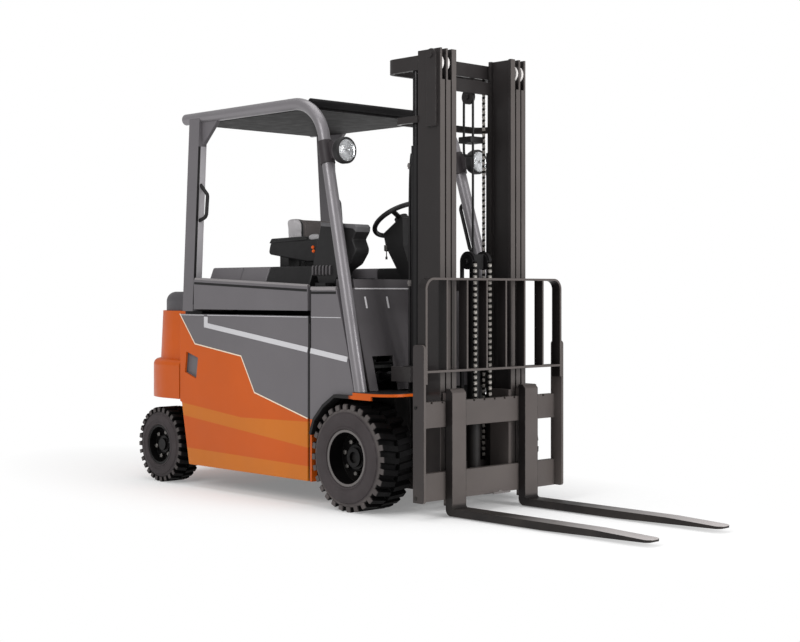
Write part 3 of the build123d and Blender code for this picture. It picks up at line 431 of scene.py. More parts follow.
def fork_tones(w):
    """Forks with painted shade on their sides, with blades rubbed bright towards the tips."""
    axes = w.split(w.place())
    low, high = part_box("fork_left")
    reach, half = high.x - low.x, (high.y - low.y) / 2
    off = w.size(w.less(w.size(axes["Y"]), (low.y + high.y) / 2))
    upward = w.over(w.split(w.add("ShaderNodeNewGeometry").outputs["Normal"])["Z"], 0.4, 0.2)
    towards_tip = w.ramp(axes["X"], *[low.x + share * reach for share in RUBBED_SHARES])
    blade = w.under(axes["Z"], low.z + BLADE_TOP, 0.015)
    flat = w.mix(blade, CARRIAGE_GREY, w.mix(w.times(towards_tip, upward), BAR_SHADE, BLADE_BRIGHT))
    return w.mix(w.over(off, half - 0.003, 0.002), flat, BAR_SHADE)


def pillar_tones(w):
    """Grey pillar whose front face is painted pale as painted light, with a dark strip along its outer edge."""
    x, y, z = from_axle(w)
    forward = w.over(above_line(w, z, x, PILLAR_FACE), -0.002, 0.001)
    edge_strip = w.over(above_line(w, z, w.size(y), PILLAR_SKIN), -PILLAR_EDGE_STRIP, 0.002)
    face = w.times(forward, w.within(z, *PILLAR_FACE_Z))
    return w.mix(face, PANEL_GREY, w.mix(edge_strip, PILLAR_LIT_FACE, SOOT))


def chain_tones(w):
    """Bright link plates with dark bands between them, painted shade in the gaps."""
    wave = w.math("PINGPONG", w.split(w.place())["Z"], CHAIN_PITCH)
    return w.mix(w.over(wave, 0.35 * CHAIN_PITCH, 0.15 * CHAIN_PITCH), OIL_AND_SHADE, LINK_BRIGHT)


def tyre_tones(w):
    """Tread painted near black as painted shade, a paler sidewall and pale lug ends, from the distance to the nearer
    axle.
    """
    axes = w.split(w.place())
    reach = []
    for place in ("front", "rear"):
        low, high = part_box(f"{place}_tyre_right")
        middle = (low + high) / 2
        dx, dz = w.less(axes["X"], middle.x), w.less(axes["Z"], middle.z)
        length = w.math("SQRT", w.plus(w.times(dx, dx), w.times(dz, dz)))
        reach.append(w.math("DIVIDE", length, (high.z - low.z) / 2))
    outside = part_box("front_tyre_left")[1].y
    ends = w.over(w.size(axes["Y"]), outside - LUG_END, 0.006)
    tread = w.ramp(w.math("MINIMUM", *reach), *SHOULDER_SHARES)
    return w.mix(tread, SIDEWALL, w.mix(ends, TREAD_SHADE, LUG_SIDE))


def seat_tones(w):
    """Back rest: sides painted pale as a painted highlight, and a grey middle edged in black, crossed by a dark seam,
    above a black foot.
    """
    x, y, z = from_axle(w)
    width = w.size(y)
    inside = w.under(width, INSERT_HALF, 0.004)
    border = w.times(w.under(width, INSERT_HALF + INSERT_EDGE, 0.004), w.less(1.0, inside))
    (y0, z0), (y1, z1) = SEAM_FROM, SEAM_TO
    off = w.size(above_line(w, z, y, (z0, y0, (y1 - y0) / (z1 - z0))))
    seam = w.times(w.under(off, 0.008, 0.002), w.within(z, z1, z0))
    black = w.either(w.either(border, seam), w.under(z, INSERT_FOOT, 0.004))
    return w.mix(black, w.mix(inside, SEAT_SIDE_HIGHLIGHT, INSERT), VINYL)


ORANGE_FILM = {"wear": 0.15, "coat": 0.06, "peel": 420.0, "dust": 0.06}
GREY_FILM = {"wear": 0.15, "coat": 0.08, "peel": 420.0, "dust": 0.05}

orange_paint = painted("orange_paint", cast_tones, 0.4, **ORANGE_FILM)
orange_door = painted("orange_door", door_bands, 0.4, **ORANGE_FILM)
grey_panel = painted("grey_panel", PANEL_GREY, 0.4, **GREY_FILM)
front_grey = painted("front_grey", panel_tones, 0.4, **GREY_FILM)
cap_grey = painted("cap_grey", CAP_GREY, 0.45, wear=0.1, dust=0.05)
guard_grey = painted("guard_grey", TUBE_GREY, 0.36, wear=0.0, coat=0.15, metal=0.35, edge=0.0, strength=0.01)
pillar_grey = painted("pillar_grey", pillar_tones, 0.38, wear=0.15, coat=0.15)
cowl_dark = painted("cowl_dark", COWL_GREY, 0.5, wear=0.25, mottle=0.08)
roof_dark = painted("roof_dark", roof_tones, 0.6, wear=0.1, gloss=0.1)
soot_paint = painted("soot_paint", SOOT, 0.45, wear=0.25, dust=0.15)
lamp_paint = painted("lamp_paint", colour(54, 50, 52), 0.45, wear=0.1)
mast_paint = painted("mast_paint", mast_tones, 0.36, wear=0.3, mottle=0.08, dust=0.08, coat=0.1)
carriage_paint = painted("carriage_paint", carriage_tones, 0.42, wear=0.4, mottle=0.1)
backrest_paint = painted("backrest_paint", backrest_tones, 0.42, wear=0.2, mottle=0.1)
fork_paint = painted("fork_paint", fork_tones, 0.36, wear=0.6, mottle=0.14, metal=0.2)
ring_grey = painted("ring_grey", colour(104, 100, 99), 0.36, wear=0.1)
rim_black = painted("rim_black", colour(7, 6, 7), 0.4, wear=0.1, dust=0.02)
fender_paint = painted("fender_paint", fender_tones, 0.36, wear=0.2, dust=0.1)
battery_case = painted("battery_case", colour(40, 42, 45), 0.55, wear=0.3)
tyre_rubber = moulded("tyre_rubber", tyre_tones, 0.72, grain=260.0, strength=0.2, gloss=0.15)
black_plastic = moulded("black_plastic", PLASTIC, 0.48, grain=620.0)
wheel_grip = moulded("wheel_grip", PLASTIC, 0.42, grain=900.0, strength=0.15)
floor_mat = moulded("floor_mat", colour(30, 30, 30), 0.75, grain=140.0, strength=0.4)
knob_plastic = moulded("knob_plastic", KNOB_GREY, 0.35, grain=900.0, strength=0.05)
button_plastic = moulded("button_plastic", BUTTON, 0.35, grain=900.0, strength=0.05)
seat_vinyl = moulded("seat_vinyl", VINYL, 0.5, grain=420.0, strength=0.3, sheen=0.1)
seat_panel = moulded("seat_panel", seat_tones, 0.55, grain=420.0, strength=0.3, sheen=0.1)
rod_chrome = steel("rod_chrome", CHROME, 0.14, oil=0.15, lines=(900, 900, 4))
rod_dark = steel("rod_dark", colour(58, 57, 58), 0.24, oil=0.3, lines=(900, 900, 4))
chain_steel = painted("chain_steel", chain_tones, 0.36, wear=0.0, mottle=0.2, metal=0.4, edge=0.0)
zinc = steel("zinc", colour(118, 115, 112), 0.4, oil=0.3, lines=(90, 90, 90))
# The rollers are painted pale as a painted reflection of bright steel.
roller_reflection_paint = painted("roller_reflection_paint", colour(222, 218, 216), 0.34, wear=0.0, metal=0.15, edge=0.0)
# The cream strip paint is a painted highlight on the door divide.
divide_highlight_paint = painted("divide_highlight_paint", DIVIDE_HIGHLIGHT, 0.4, wear=0.05, dust=0.02)
# The rail paint is a painted highlight along the belt rails.
rail_highlight_paint = painted("rail_highlight_paint", colour(142, 138, 139), 0.32, wear=0.0, metal=0.2, edge=0.0)
# The crease paint is a painted highlight on the pressed crease and along the door tops.
body_line_highlight_paint = painted("body_line_highlight_paint", colour(196, 195, 198), 0.4, wear=0.05, dust=0.02)
slot_grey = painted("slot_grey", colour(190, 188, 190), 0.4, wear=0.1)
cap_plastic = moulded("cap_plastic", colour(84, 83, 85), 0.42, grain=700.0, strength=0.15)
bellows_rubber = moulded("bellows_rubber", colour(88, 85, 87), 0.5, grain=500.0)

FINISHES = {
    orange_paint: ["counterweight"],
    orange_door: ["door_lower_right", "door_lower_left"],
    grey_panel: ["door_upper_right", "door_upper_left", "battery_hood"],
    front_grey: ["front_panels"],
    cap_grey: ["counterweight_cover"],
    guard_grey: ["guard_side_tubes"],
    pillar_grey: ["guard_rear_pillars"],
    cowl_dark: ["front_cowl"],
    roof_dark: ["guard_roof"],
    soot_paint: ["chassis_frame", "drive_axle", "steer_axle", "knuckle_right", "knuckle_left", "lift_barrels",
                 "free_lift_barrel", "tilt_barrels", "seat_base", "crosshead"],
    lamp_paint: ["headlamps"],
    mast_paint: ["mast_outer", "mast_middle", "mast_inner"],
    carriage_paint: ["carriage"],
    backrest_paint: ["load_backrest"],
    fork_paint: ["fork_right", "fork_left"],
    rim_black: ["front_rim_right", "front_rim_left", "rear_rim_right", "rear_rim_left"],
    fender_paint: ["front_fenders"],
    battery_case: ["battery_block"],
    black_plastic: ["side_console", "steering_column", "armrest", "guard_handles"],
    wheel_grip: ["steering_wheel"],
    floor_mat: ["floor_plate"],
    tyre_rubber: ["front_tyre_right", "front_tyre_left", "rear_tyre_right", "rear_tyre_left"],
    seat_vinyl: ["seat_cushion", "seat_back"],
    rod_chrome: ["tilt_rods"],
    rod_dark: ["lift_rods"],
    chain_steel: ["lift_chains", "mast_chains"],
}

for finish, names in FINISHES.items():
    for name in names:
        for slot in NODES[name].material_slots:
            slot.material = finish


# Mesh making

def shade(mesh, angle=35):
    mesh.polygons.foreach_set("use_smooth", [True] * len(mesh.polygons))
    mesh.set_sharp_from_angle(angle=radians(angle))


def as_mesh(made, name="part"):
    """Turns a working mesh into a mesh and frees it."""
    mesh = bpy.data.meshes.new(name)
    made.to_mesh(mesh)
    made.free()
    return mesh


def close_up(made):
    """Merges doubles and turns the faces outwards."""
    bmesh.ops.remove_doubles(made, verts=made.verts, dist=1e-6)
    bmesh.ops.recalc_face_normals(made, faces=made.faces)
    return as_mesh(made)


def soften(made, width, steps=2, angle=25):
    edges = [e for e in made.edges if len(e.link_faces) == 2 and e.calc_face_angle(0) > radians(angle)]
    bmesh.ops.bevel(made, geom=edges, offset=width, segments=steps, profile=0.6, affect="EDGES",
                    clamp_overlap=True)


def loft(rings, wrap=False):
    """Skin through rings of corners, capped at both ends or wrapped round to its start."""
    made = bmesh.new()
    rows = [[made.verts.new(corner) for corner in ring] for ring in rings]
    for a, b in zip(rows, rows[1:] + rows[:1] if wrap else rows[1:]):
        for k in range(len(a)):
            n = (k + 1) % len(a)
            made.faces.new((a[k], a[n], b[n], b[k]))
    if not wrap:
        made.faces.new(rows[0])
        made.faces.new(rows[-1])
    return made


def prism(outline, low, high, across="Y", bevel=0.0, steps=2):
    """Plate whose outline is extruded along one axis: (x, z) along Y, (x, y) along Z or (y, z) along X."""
    spread = {"Y": lambda a, b, t: (a, t, b), "Z": lambda a, b, t: (a, b, t), "X": lambda a, b, t: (t, a, b)}[across]
    made = loft([[spread(a, b, t) for a, b in outline] for t in (low, high)])
    bmesh.ops.recalc_face_normals(made, faces=made.faces)
    if bevel:
        soften(made, bevel, steps)
    return close_up(made)


def turned(profile, centre, along="Y", steps=64):
    """Ring or disc turned about an axis through centre; the profile is a closed list of (place, radius)."""
    spin = {"X": lambda t, r, a: (t, r * cos(a), r * sin(a)), "Y": lambda t, r, a: (r * sin(a), t, r * cos(a)),
            "Z": lambda t, r, a: (r * cos(a), r * sin(a), t)}[along]
    angles = [2 * pi * k / steps for k in range(steps)]
    made = loft([[Vector(centre) + Vector(spin(t, r, a)) for t, r in profile] for a in angles], wrap=True)
    bmesh.ops.remove_doubles(made, verts=made.verts, dist=1e-6)
    bmesh.ops.dissolve_degenerate(made, edges=made.edges, dist=1e-7)
    return close_up(made)


def bent_tube(points, radius, steps=10):
    """Round bar along a smooth line through the points."""
    curve = bpy.data.curves.new("bar", "CURVE")
    curve.dimensions = "3D"
    curve.bevel_depth = radius
    curve.bevel_resolution = 4
    curve.use_fill_caps = True
    spline = curve.splines.new("NURBS")
    spline.points.add(len(points) - 1)
    for point, place in zip(spline.points, points):
        point.co = (*place, 1.0)
    spline.order_u = 3
    spline.use_endpoint_u = True
    spline.resolution_u = steps
    carrier = bpy.data.objects.new("bar", curve)
    mesh = bpy.data.meshes.new_from_object(carrier)
    bpy.data.objects.remove(carrier)
    made = bmesh.new()
    made.from_mesh(mesh)
    bpy.data.meshes.remove(mesh)
    return close_up(made)


def merged(*meshes):
    made = bmesh.new()
    for mesh in meshes:
        made.from_mesh(mesh)
    return as_mesh(made)


def moved(mesh, *steps):
    for step in steps:
        mesh.transform(step)
    if any(step.determinant() < 0 for step in steps):
        mesh.flip_normals()
    return mesh


def placed(name, data):
    """A new object in the scene."""
    made = bpy.data.objects.new(name, data)
    bpy.context.scene.collection.objects.link(made)
    return made


def evaluated_mesh(made):
    """The mesh that an object's modifiers make."""
    bpy.context.view_layer.update()
    return bpy.data.meshes.new_from_object(made.evaluated_get(bpy.context.evaluated_depsgraph_get()))


def piece(name, mesh, material, body, smooth=35):
    """A finished piece that rides on a body."""
    mesh.materials.clear()
    mesh.materials.append(material)
    shade(mesh, smooth)
    made = placed(name, mesh)
    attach(made, body)
    return made


# Geometry Nodes for what repeats

def geometry_tree(name, inputs):
    tree = bpy.data.node_groups.new(name, "GeometryNodeTree")
    tree.interface.new_socket("Geometry", in_out="OUTPUT", socket_type="NodeSocketGeometry")
    sockets = {label: tree.interface.new_socket(label, in_out="INPUT", socket_type=kind) for label, kind in inputs}
    return tree, Wiring(tree), sockets


def finish_tree(tree, w, start, points, rotation=None):
    """Puts the piece on each point, makes it real and gives it its material."""
    shape = w.add("GeometryNodeObjectInfo", {"Object": start["Piece"]}).outputs["Geometry"]
    copies = w.add("GeometryNodeInstanceOnPoints", {"Points": points, "Instance": shape})
    if rotation is not None:
        w.feed(copies.inputs["Rotation"], rotation)
    real = w.add("GeometryNodeRealizeInstances", {"Geometry": copies.outputs["Instances"]})
    coated = w.add("GeometryNodeSetMaterial", {"Geometry": real.outputs["Geometry"], "Material": start["Material"]})
    end = tree.nodes.new("NodeGroupOutput")
    w.feed(end.inputs["Geometry"], coated.outputs["Geometry"])


COPY_INPUTS = [("Piece", "NodeSocketObject"), ("Material", "NodeSocketMaterial"), ("Count", "NodeSocketInt")]


def build_ring_tree():
    """Copies of a piece turned about the Y axis."""
    tree, w, sockets = geometry_tree("ring_of_copies", COPY_INPUTS + [("Start Angle", FLOAT)])
    start = tree.nodes.new("NodeGroupInput").outputs
    points = w.add("GeometryNodePoints", {"Count": start["Count"]}).outputs[0]
    index = w.add("GeometryNodeInputIndex").outputs[0]
    step = w.math("DIVIDE", 2 * pi, start["Count"])
    angle = w.plus(w.times(index, step), start["Start Angle"])
    turn = w.add("ShaderNodeCombineXYZ", {"Y": angle}).outputs[0]
    rotation = w.add("FunctionNodeEulerToRotation", {0: turn}).outputs[0]
    finish_tree(tree, w, start, points, rotation)
    return tree, sockets


def build_row_tree():
    """Copies of a piece in a straight row."""
    tree, w, sockets = geometry_tree("row_of_copies", COPY_INPUTS + [("First", VECTOR), ("Step", VECTOR)])
    start = tree.nodes.new("NodeGroupInput").outputs
    line = w.add("GeometryNodeMeshLine", {"Count": start["Count"], "Start Location": start["First"],
                                          "Offset": start["Step"]})
    finish_tree(tree, w, start, line.outputs["Mesh"])
    return tree, sockets


RING_OF_COPIES = build_ring_tree()
ROW_OF_COPIES = build_row_tree()


def copies(recipe, mesh, material, **values):
    """The mesh that a tree makes from a piece; values are the tree's other inputs by name."""
    tree, sockets = recipe
    seed = placed("seed", mesh)
    carrier = placed("carrier", bpy.data.meshes.new("carrier"))
    modifier = carrier.modifiers.new("copies", "NODES")
    modifier.node_group = tree
    values.update(Piece=seed, Material=material)
    for name, value in values.items():
        modifier[sockets[name.replace("_", " ")].identifier] = value
    result = evaluated_mesh(carrier)
    for made in (carrier, seed):
        bpy.data.objects.remove(made)
    return result


def ring_of(mesh, material, count, start=0.0):
    return copies(RING_OF_COPIES, mesh, material, Count=count, Start_Angle=start)


def row_of(mesh, material, count, first, step):
    return copies(ROW_OF_COPIES, mesh, material, Count=count, First=first, Step=step)


# Wheels

LUGS = 28
LUG_DEPTH = 0.026
SHOULDER_DEPTH = 0.047
LUG_SHARE = 0.47
LUG_SLANT = 0.3


def tyre_carcass(radius, half, bore):
    """Tyre under its lugs: bead, rounded sidewall with a rib, shoulder and groove floor."""
    floor = radius - LUG_DEPTH
    top = radius - SHOULDER_DEPTH
    bead = [(0.012, 0.0), (0.003, 0.005), (0.001, 0.012), (0.005, 0.016), (0.004, 0.022), (0.001, 0.034)]
    shoulder = [(0.002, -0.012), (0.006, -0.003), (0.012, 0.0), (0.014, 0.004)]
    wall = [(half - y, bore + r) for y, r in bead]
    wall.append((half, (bore + top) / 2))
    wall += [(half - y, top + r) for y, r in shoulder]
    wall += [(half - 0.016, floor - 0.004), (half - 0.022, floor)]
    return turned(wall + [(-y, r) for y, r in reversed(wall)], (0, 0, 0), "Y", 112)


def tyre_lug(radius, half, count):
    """One tread block from the shoulder to the middle of the tread, slanted."""
    pitch = 2 * pi / count
    low = radius - LUG_DEPTH - 0.004
    wide, slim = pitch * LUG_SHARE * 0.53, pitch * LUG_SHARE * 0.48
    stations = [(half - 0.011, radius - 0.008), (half - 0.014, radius - 0.003), (half - 0.02, radius),
                (half * 0.45, radius), (0.004, radius)]
    rings = []
    for y, top in stations:
        shift = pitch * (0.25 + LUG_SLANT * (half - y) / half)
        corners = [(low, shift - wide), (top, shift - slim), (top, shift + slim), (low, shift + wide)]
        rings.append([(r * sin(a), y, r * cos(a)) for r, a in corners])
    return close_up(loft(rings))


def make_tyre(place, side):
    """Tyre with staggered lugs, in the room that its solid takes."""
    node = f"{place}_tyre_{side}"
    low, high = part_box(node)
    radius, half = (high.z - low.z) / 2, (high.y - low.y) / 2
    rim_low, rim_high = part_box(f"{place}_rim_{side}")
    lug = tyre_lug(radius, half, LUGS)
    other = moved(lug.copy(), Matrix.Scale(-1, 4, (0, 1, 0)))
    rows = [ring_of(lug, tyre_rubber, LUGS), ring_of(other, tyre_rubber, LUGS, pi / LUGS)]
    whole = merged(tyre_carcass(radius, half, (rim_high.z - rim_low.z) / 2), *rows)
    moved(whole, Matrix.Translation((low + high) / 2))
    tyre = piece(f"{place}_tread_{side}", whole, tyre_rubber, f"{place}_wheel_{side}", 30)
    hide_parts(node)


NUT_R = 0.015
NUT_H = 0.016
NUT_START = radians(78)


def hex_nut(reach, face, sign):
    """Hexagon nut with a domed end on a pitch circle about Y; face is where it seats."""
    rings = []
    for out, share in ((0.0, 1.0), (0.72, 1.0), (0.9, 0.82), (1.0, 0.55)):
        radius = NUT_R * share
        rings.append([(radius * sin(pi * k / 3), face + sign * out * NUT_H, reach + radius * cos(pi * k / 3))
                      for k in range(6)])
    return close_up(loft(rings))


WHEEL_NUTS = {"front": (0.088, 7, 0.537), "rear": (0.078, 6, 0.57)}


def make_nuts(place, side, sign):
    reach, count, face = WHEEL_NUTS[place]
    middle = centre_of(f"{place}_rim_{side}")
    ring = ring_of(hex_nut(reach, sign * face, sign), zinc, count, NUT_START)
    moved(ring, Matrix.Translation((middle.x, 0, middle.z)))
    piece(f"{place}_nuts_{side}", ring, zinc, f"{place}_wheel_{side}", 20)


for place in WHEEL_NUTS:
    for side in SIDES:
        make_tyre(place, side)
for place in WHEEL_NUTS:
    for side, sign in SIDES.items():
        make_nuts(place, side, sign)


# Lift chains

PLATE_T = 0.0021
PIN_R = 0.0032


def link_plate(pitch, half_width):
    """One figure-of-eight link plate, flat in x-z, hanging down from its upper pin."""
    outline = []
    for turn, level, waist in ((0, 0, -0.72), (pi, -pitch, 0.72)):
        angles = [turn + pi * k / 6 for k in range(7)]
        outline += [(half_width * cos(a), level + half_width * sin(a)) for a in angles]
        outline.append((half_width * waist, -pitch / 2))
    return prism(outline, -PLATE_T / 2, PLATE_T / 2)


def chain_strand(x, y, top, bottom, width, thick):
    """Leaf chain: plates in two lacings that alternate, and a pin at each joint."""
    plate = link_plate(CHAIN_PITCH, thick / 2)
    links = int((top - bottom) / CHAIN_PITCH)
    level = top - thick / 2
    rows = []
    for lane in range(int(width / PLATE_T)):
        first = (x, y - width / 2 + PLATE_T * (lane + 0.5), level - lane % 2 * CHAIN_PITCH)
        rows.append(row_of(plate.copy(), chain_steel, links // 2, first, (0, 0, -2 * CHAIN_PITCH)))
    ends = [(-width / 2, 0.0), (-width / 2, PIN_R), (width / 2, PIN_R), (width / 2, 0.0)]
    pin = turned(ends, (0, 0, 0), "Y", 8)
    rows.append(row_of(pin, chain_steel, links, (x, y, level), (0, 0, -CHAIN_PITCH)))
    return merged(*rows)


def chain_pair(name, node, width, body):
    """Two strands at the edges of a chain node's box."""
    low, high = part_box(node)
    x = (low.x + high.x) / 2
    strands = [chain_strand(x, y, high.z, low.z, width, high.x - low.x)
               for y in (low.y + width / 2, high.y - width / 2)]
    return piece(name, merged(*strands), chain_steel, body, 30)


def make_lift_chains():
    chains = chain_pair("leaf_chains", "lift_chains", 0.02, "carriage")
    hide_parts("lift_chains")
    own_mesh(chains)


make_lift_chains()


# Seat

PAD_VOXEL = 0.006
PAD_SWELL = 0.012
PAD_PRESSURE = 4.0
CLOTH_FRAMES = 20


def stuffed(name, low, high):
    """Closed pad that starts a little small and swells under pressure, kept within its solid."""
    shrink = PAD_SWELL * 0.7
    made = bmesh.new()
    bmesh.ops.create_cube(made, size=1.0)
    size = Vector(high) - Vector(low) - Vector((2 * shrink,) * 3)
    middle = (Vector(low) + Vector(high)) / 2
    bmesh.ops.transform(made, matrix=Matrix.Diagonal((*size, 1)), verts=made.verts)
    soften(made, min(size) * 0.32, 5)
    bmesh.ops.transform(made, matrix=Matrix.Translation(middle), verts=made.verts)
    pad = placed(name, close_up(made))
    remesh = pad.modifiers.new("remesh", "REMESH")
    remesh.mode = "VOXEL"
    remesh.voxel_size = PAD_VOXEL
    settle_modifiers(pad)
    inflate(pad, PAD_SWELL)
    return pad


def settle_modifiers(made):
    mesh = evaluated_mesh(made)
    made.modifiers.clear()
    made.data = mesh


def inflate(pad, cap):
    """Cloth under pressure, with each point's travel capped."""
    before = [v.co.copy() for v in pad.data.vertices]
    cloth = pad.modifiers.new("cloth", "CLOTH")
    cloth.settings.use_pressure = True
    cloth.settings.uniform_pressure_force = PAD_PRESSURE
    cloth.settings.effector_weights.gravity = 0.0
    scene = bpy.context.scene
    for step in range(1, CLOTH_FRAMES + 1):
        scene.frame_set(step)
    settle_modifiers(pad)
    scene.frame_set(1)
    for vertex, start in zip(pad.data.vertices, before):
        travel = vertex.co - start
        if travel.length > cap:
            vertex.co = start + travel.normalized() * cap


def press(pad, shape):
    """Moves each point by a function of its place: seams, channels and the flat underside."""
    for vertex in pad.data.vertices:
        vertex.co += shape(vertex.co)


def groove(distance, width, depth):
    return depth * max(0.0, 1 - abs(distance) / width) ** 2


def finish_pad(pad, material, body, node):
    pad.data.materials.clear()
    pad.data.materials.append(material)
    smooth = pad.modifiers.new("smooth", "SUBSURF")
    smooth.levels = smooth.render_levels = 1
    settle_modifiers(pad)
    shade(pad.data, 80)
    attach(pad, body)
    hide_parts(node)


SEAT_SEAM = 0.14


def make_cushion():
    low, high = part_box("seat_cushion")
    pad = stuffed("cushion_pad", low, high)

    def sew(place):
        sunk = groove(abs(place.y) - SEAT_SEAM, 0.014, 0.009)
        for share in (0.35, 0.62):
            across = place.x - (low.x + share * (high.x - low.x))
            if abs(place.y) < SEAT_SEAM:
                sunk = max(sunk, groove(across, 0.012, 0.006))
        top = max(0.0, (place.z - low.z) / (high.z - low.z) - 0.5) * 2
        return Vector((0, 0, max(low.z - place.z, 0) - sunk * top))

    press(pad, sew)
    finish_pad(pad, seat_vinyl, "hood", "seat_cushion")


def make_back_rest():
    low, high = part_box("seat_back")
    pad = stuffed("back_pad", (low.x + 0.02, low.y, low.z), high)
    lean = (high.x - low.x) * 0.14
    middle = (low.x + high.x) / 2

    def sew(place):
        share = (place.z - low.z) / (high.z - low.z)
        sunk = groove(abs(place.y) - SEAT_SEAM, 0.012, 0.008) if place.x > middle else 0.0
        return Vector((-lean * share + lean * 0.5 - sunk, 0, max(low.z - place.z, 0)))

    press(pad, sew)
    finish_pad(pad, seat_panel, "hood", "seat_back")


make_cushion()
make_back_rest()


# Work lamps

LENS_STEPS = 48
lamp_glass, glass_w, glass_shader = blank_material("lamp_glass")
glass_w.fill(glass_shader, {"Base Color": (0.92, 0.93, 0.94, 1), "Roughness": 0.06, "Transmission Weight": 0.85})
ribs = glass_w.noise(glass_w.stretched(glass_w.place(), (30, 160, 30)), 1.0, 2.0)
bump_into(glass_w, glass_shader, ribs, 0.5, 0.002)
lamp_bowl = steel("lamp_bowl", colour(225, 226, 228), 0.12, oil=0.05, lines=(120, 120, 120))


LAMP_AT = Vector((AXLE_X - 0.105, 0.521, 1.945))
LAMP_R = 0.07


def make_lamps():
    """Rim, bowl and lens of each lamp, turned about its middle."""
    r = LAMP_R
    rim = [(-0.012, r - 0.008), (0.006, r - 0.01), (0.006, r - 0.002), (0, r + 0.003), (-0.03, r + 0.003),
           (-0.03, r - 0.008)]
    dish = [(0.0005, 0.0), (0.001, 0.02), (0.0025, r - 0.009), (0.0005, r - 0.009)]
    dome = [(0.003, r - 0.01), (0.008, r - 0.012), (0.014, r * 0.6), (0.016, r * 0.3), (0.017, 0.0), (0.003, 0.0)]
    rounds = [("bezel", rim, black_plastic, "black_plastic"), ("bowl", dish, lamp_bowl, "lamp"),
              ("lens", dome, lamp_glass, "lamp")]
    for side, sign in SIDES.items():
        middle = (LAMP_AT.x, sign * LAMP_AT.y, LAMP_AT.z)
        for name, profile, material, slot in rounds:
            piece(f"lamp_{name}_{side}", turned(profile, middle, "X", LENS_STEPS), material, "chassis")


make_lamps()


# Trim of the body: painted highlight strips on the door divide, the pressed crease and the door tops, and belt rails

DIVIDE = [(-1.548, 1.043), (-1.392, 0.864), (-0.938, 0.804), (-0.812, 0.599), (-0.338, 0.479)]
DIVIDE_HIGHLIGHT_W = 0.007
CREASE = [(-1.3, 0.966), (-0.003, 0.8)]
CREASE_RISE = 0.029
CREASE_END = 0.062
RECESS_Y = SKIN_Y - 0.007
DOOR_FRONT = -0.341
PANEL_FRONT = -0.012
DOOR_EDGE_REAR = -1.276
DOOR_CORNER = -1.538
PANEL_EDGE_FRONT = -0.07
EDGE_LINE = (0.0, 0.004)
STRIP_PROUD = 0.0008
STRIP_SUNK = 0.002


def ahead(x):
    """Place along the truck of a distance ahead of the front axle."""
    return AXLE_X + x


def from_side(points):
    """Points of a side view that are measured from the front axle."""
    return [(ahead(x), z) for x, z in points]


def ribbon(points, width):
    """Outline of a strip of even width along a bent line, mitred at its corners."""
    upper, lower = [], []
    for k, point in enumerate(points):
        here = Vector(point)
        ways = []
        if k:
            ways.append((here - Vector(points[k - 1])).normalized())
        if k + 1 < len(points):
            ways.append((Vector(points[k + 1]) - here).normalized())
        normals = [Vector((-way.y, way.x)) for way in ways]
        mitre = sum(normals, Vector((0, 0))).normalized()
        reach = width / 2 / mitre.dot(normals[0])
        upper.append(here + mitre * reach)
        lower.append(here - mitre * reach)
    return from_side(upper + lower[::-1])


def bar(ends):
    """Straight bar between two four-cornered ends."""
    return close_up(loft(ends))


def crease_strip(x0, x1, sign):
    """Strip of painted highlight that lies on the slope of the pressed line, from x0 to x1."""
    (xa, za), (xb, zb) = CREASE
    ends = []
    for x in (x0, x1):
        z = za + (zb - za) * (x - xa) / (xb - xa)
        flat = [(SKIN_Y + STRIP_PROUD, z - 0.001), (RECESS_Y + 0.0018, z + CREASE_RISE - 0.001),
                (RECESS_Y - 0.001, z + CREASE_RISE - 0.002), (SKIN_Y - STRIP_SUNK, z - 0.002)]
        ends.append([(ahead(x), sign * y, level) for y, level in flat])
    return bar(ends)


def crease_end(sign):
    """Short upright strip of painted highlight on the slope at the rear end of the pressed line."""
    x, z = CREASE[0]
    flat = [(x, SKIN_Y + STRIP_PROUD), (x + CREASE_RISE, RECESS_Y + 0.0018), (x + CREASE_RISE, RECESS_Y - 0.001),
            (x, SKIN_Y - STRIP_SUNK)]
    return bar([[(ahead(a), sign * b, level) for a, b in flat] for level in (z + 0.004, z + CREASE_END)])


def skin_strip(rail, sign, drops, skin):
    """Thin strip on a side face below a line, between two drops."""
    ends = []
    for x, z in (rail[0], rail[-1]):
        corners = [(STRIP_PROUD, drops[1]), (STRIP_PROUD, drops[0]), (-STRIP_SUNK, drops[0]), (-STRIP_SUNK, drops[1])]
        ends.append([(ahead(x), sign * (skin + out), z - drop) for out, drop in corners])
    return bar(ends)


# Each strip here is a painted highlight: the cream one on the divide's chamfer, the pale ones on the crease slope and
# along the door tops.
def make_body_lines():
    for side, sign in SIDES.items():
        inner, outer = sorted((sign * (SKIN_Y - 0.004), sign * (SKIN_Y + 0.0006)))
        divide_highlight = prism(ribbon(DIVIDE, DIVIDE_HIGHLIGHT_W), inner, outer)
        piece(f"door_stripe_{side}", divide_highlight, divide_highlight_paint, f"door_{side}")
        lines = merged(crease_strip(CREASE[0][0], DOOR_FRONT, sign), crease_end(sign))
        piece(f"door_crease_{side}", lines, body_line_highlight_paint, f"door_{side}")
        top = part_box(f"door_upper_{side}")[1].z - 0.004
        edge = merged(skin_strip([(DOOR_EDGE_REAR, top), (DOOR_FRONT - 0.004, top)], sign, EDGE_LINE, RECESS_Y),
                      skin_strip([(DOOR_CORNER, top), (CREASE[0][0], top)], sign, EDGE_LINE, SKIN_Y))
        piece(f"door_edge_{side}", edge, body_line_highlight_paint, f"door_{side}")
    front = merged(crease_strip(PANEL_REAR, PANEL_FRONT, SIDES["right"]),
                   skin_strip([(PANEL_REAR, top), (PANEL_EDGE_FRONT, top)], SIDES["right"], EDGE_LINE, RECESS_Y))
    piece("panel_crease_right", front, body_line_highlight_paint, "chassis")


make_body_lines()

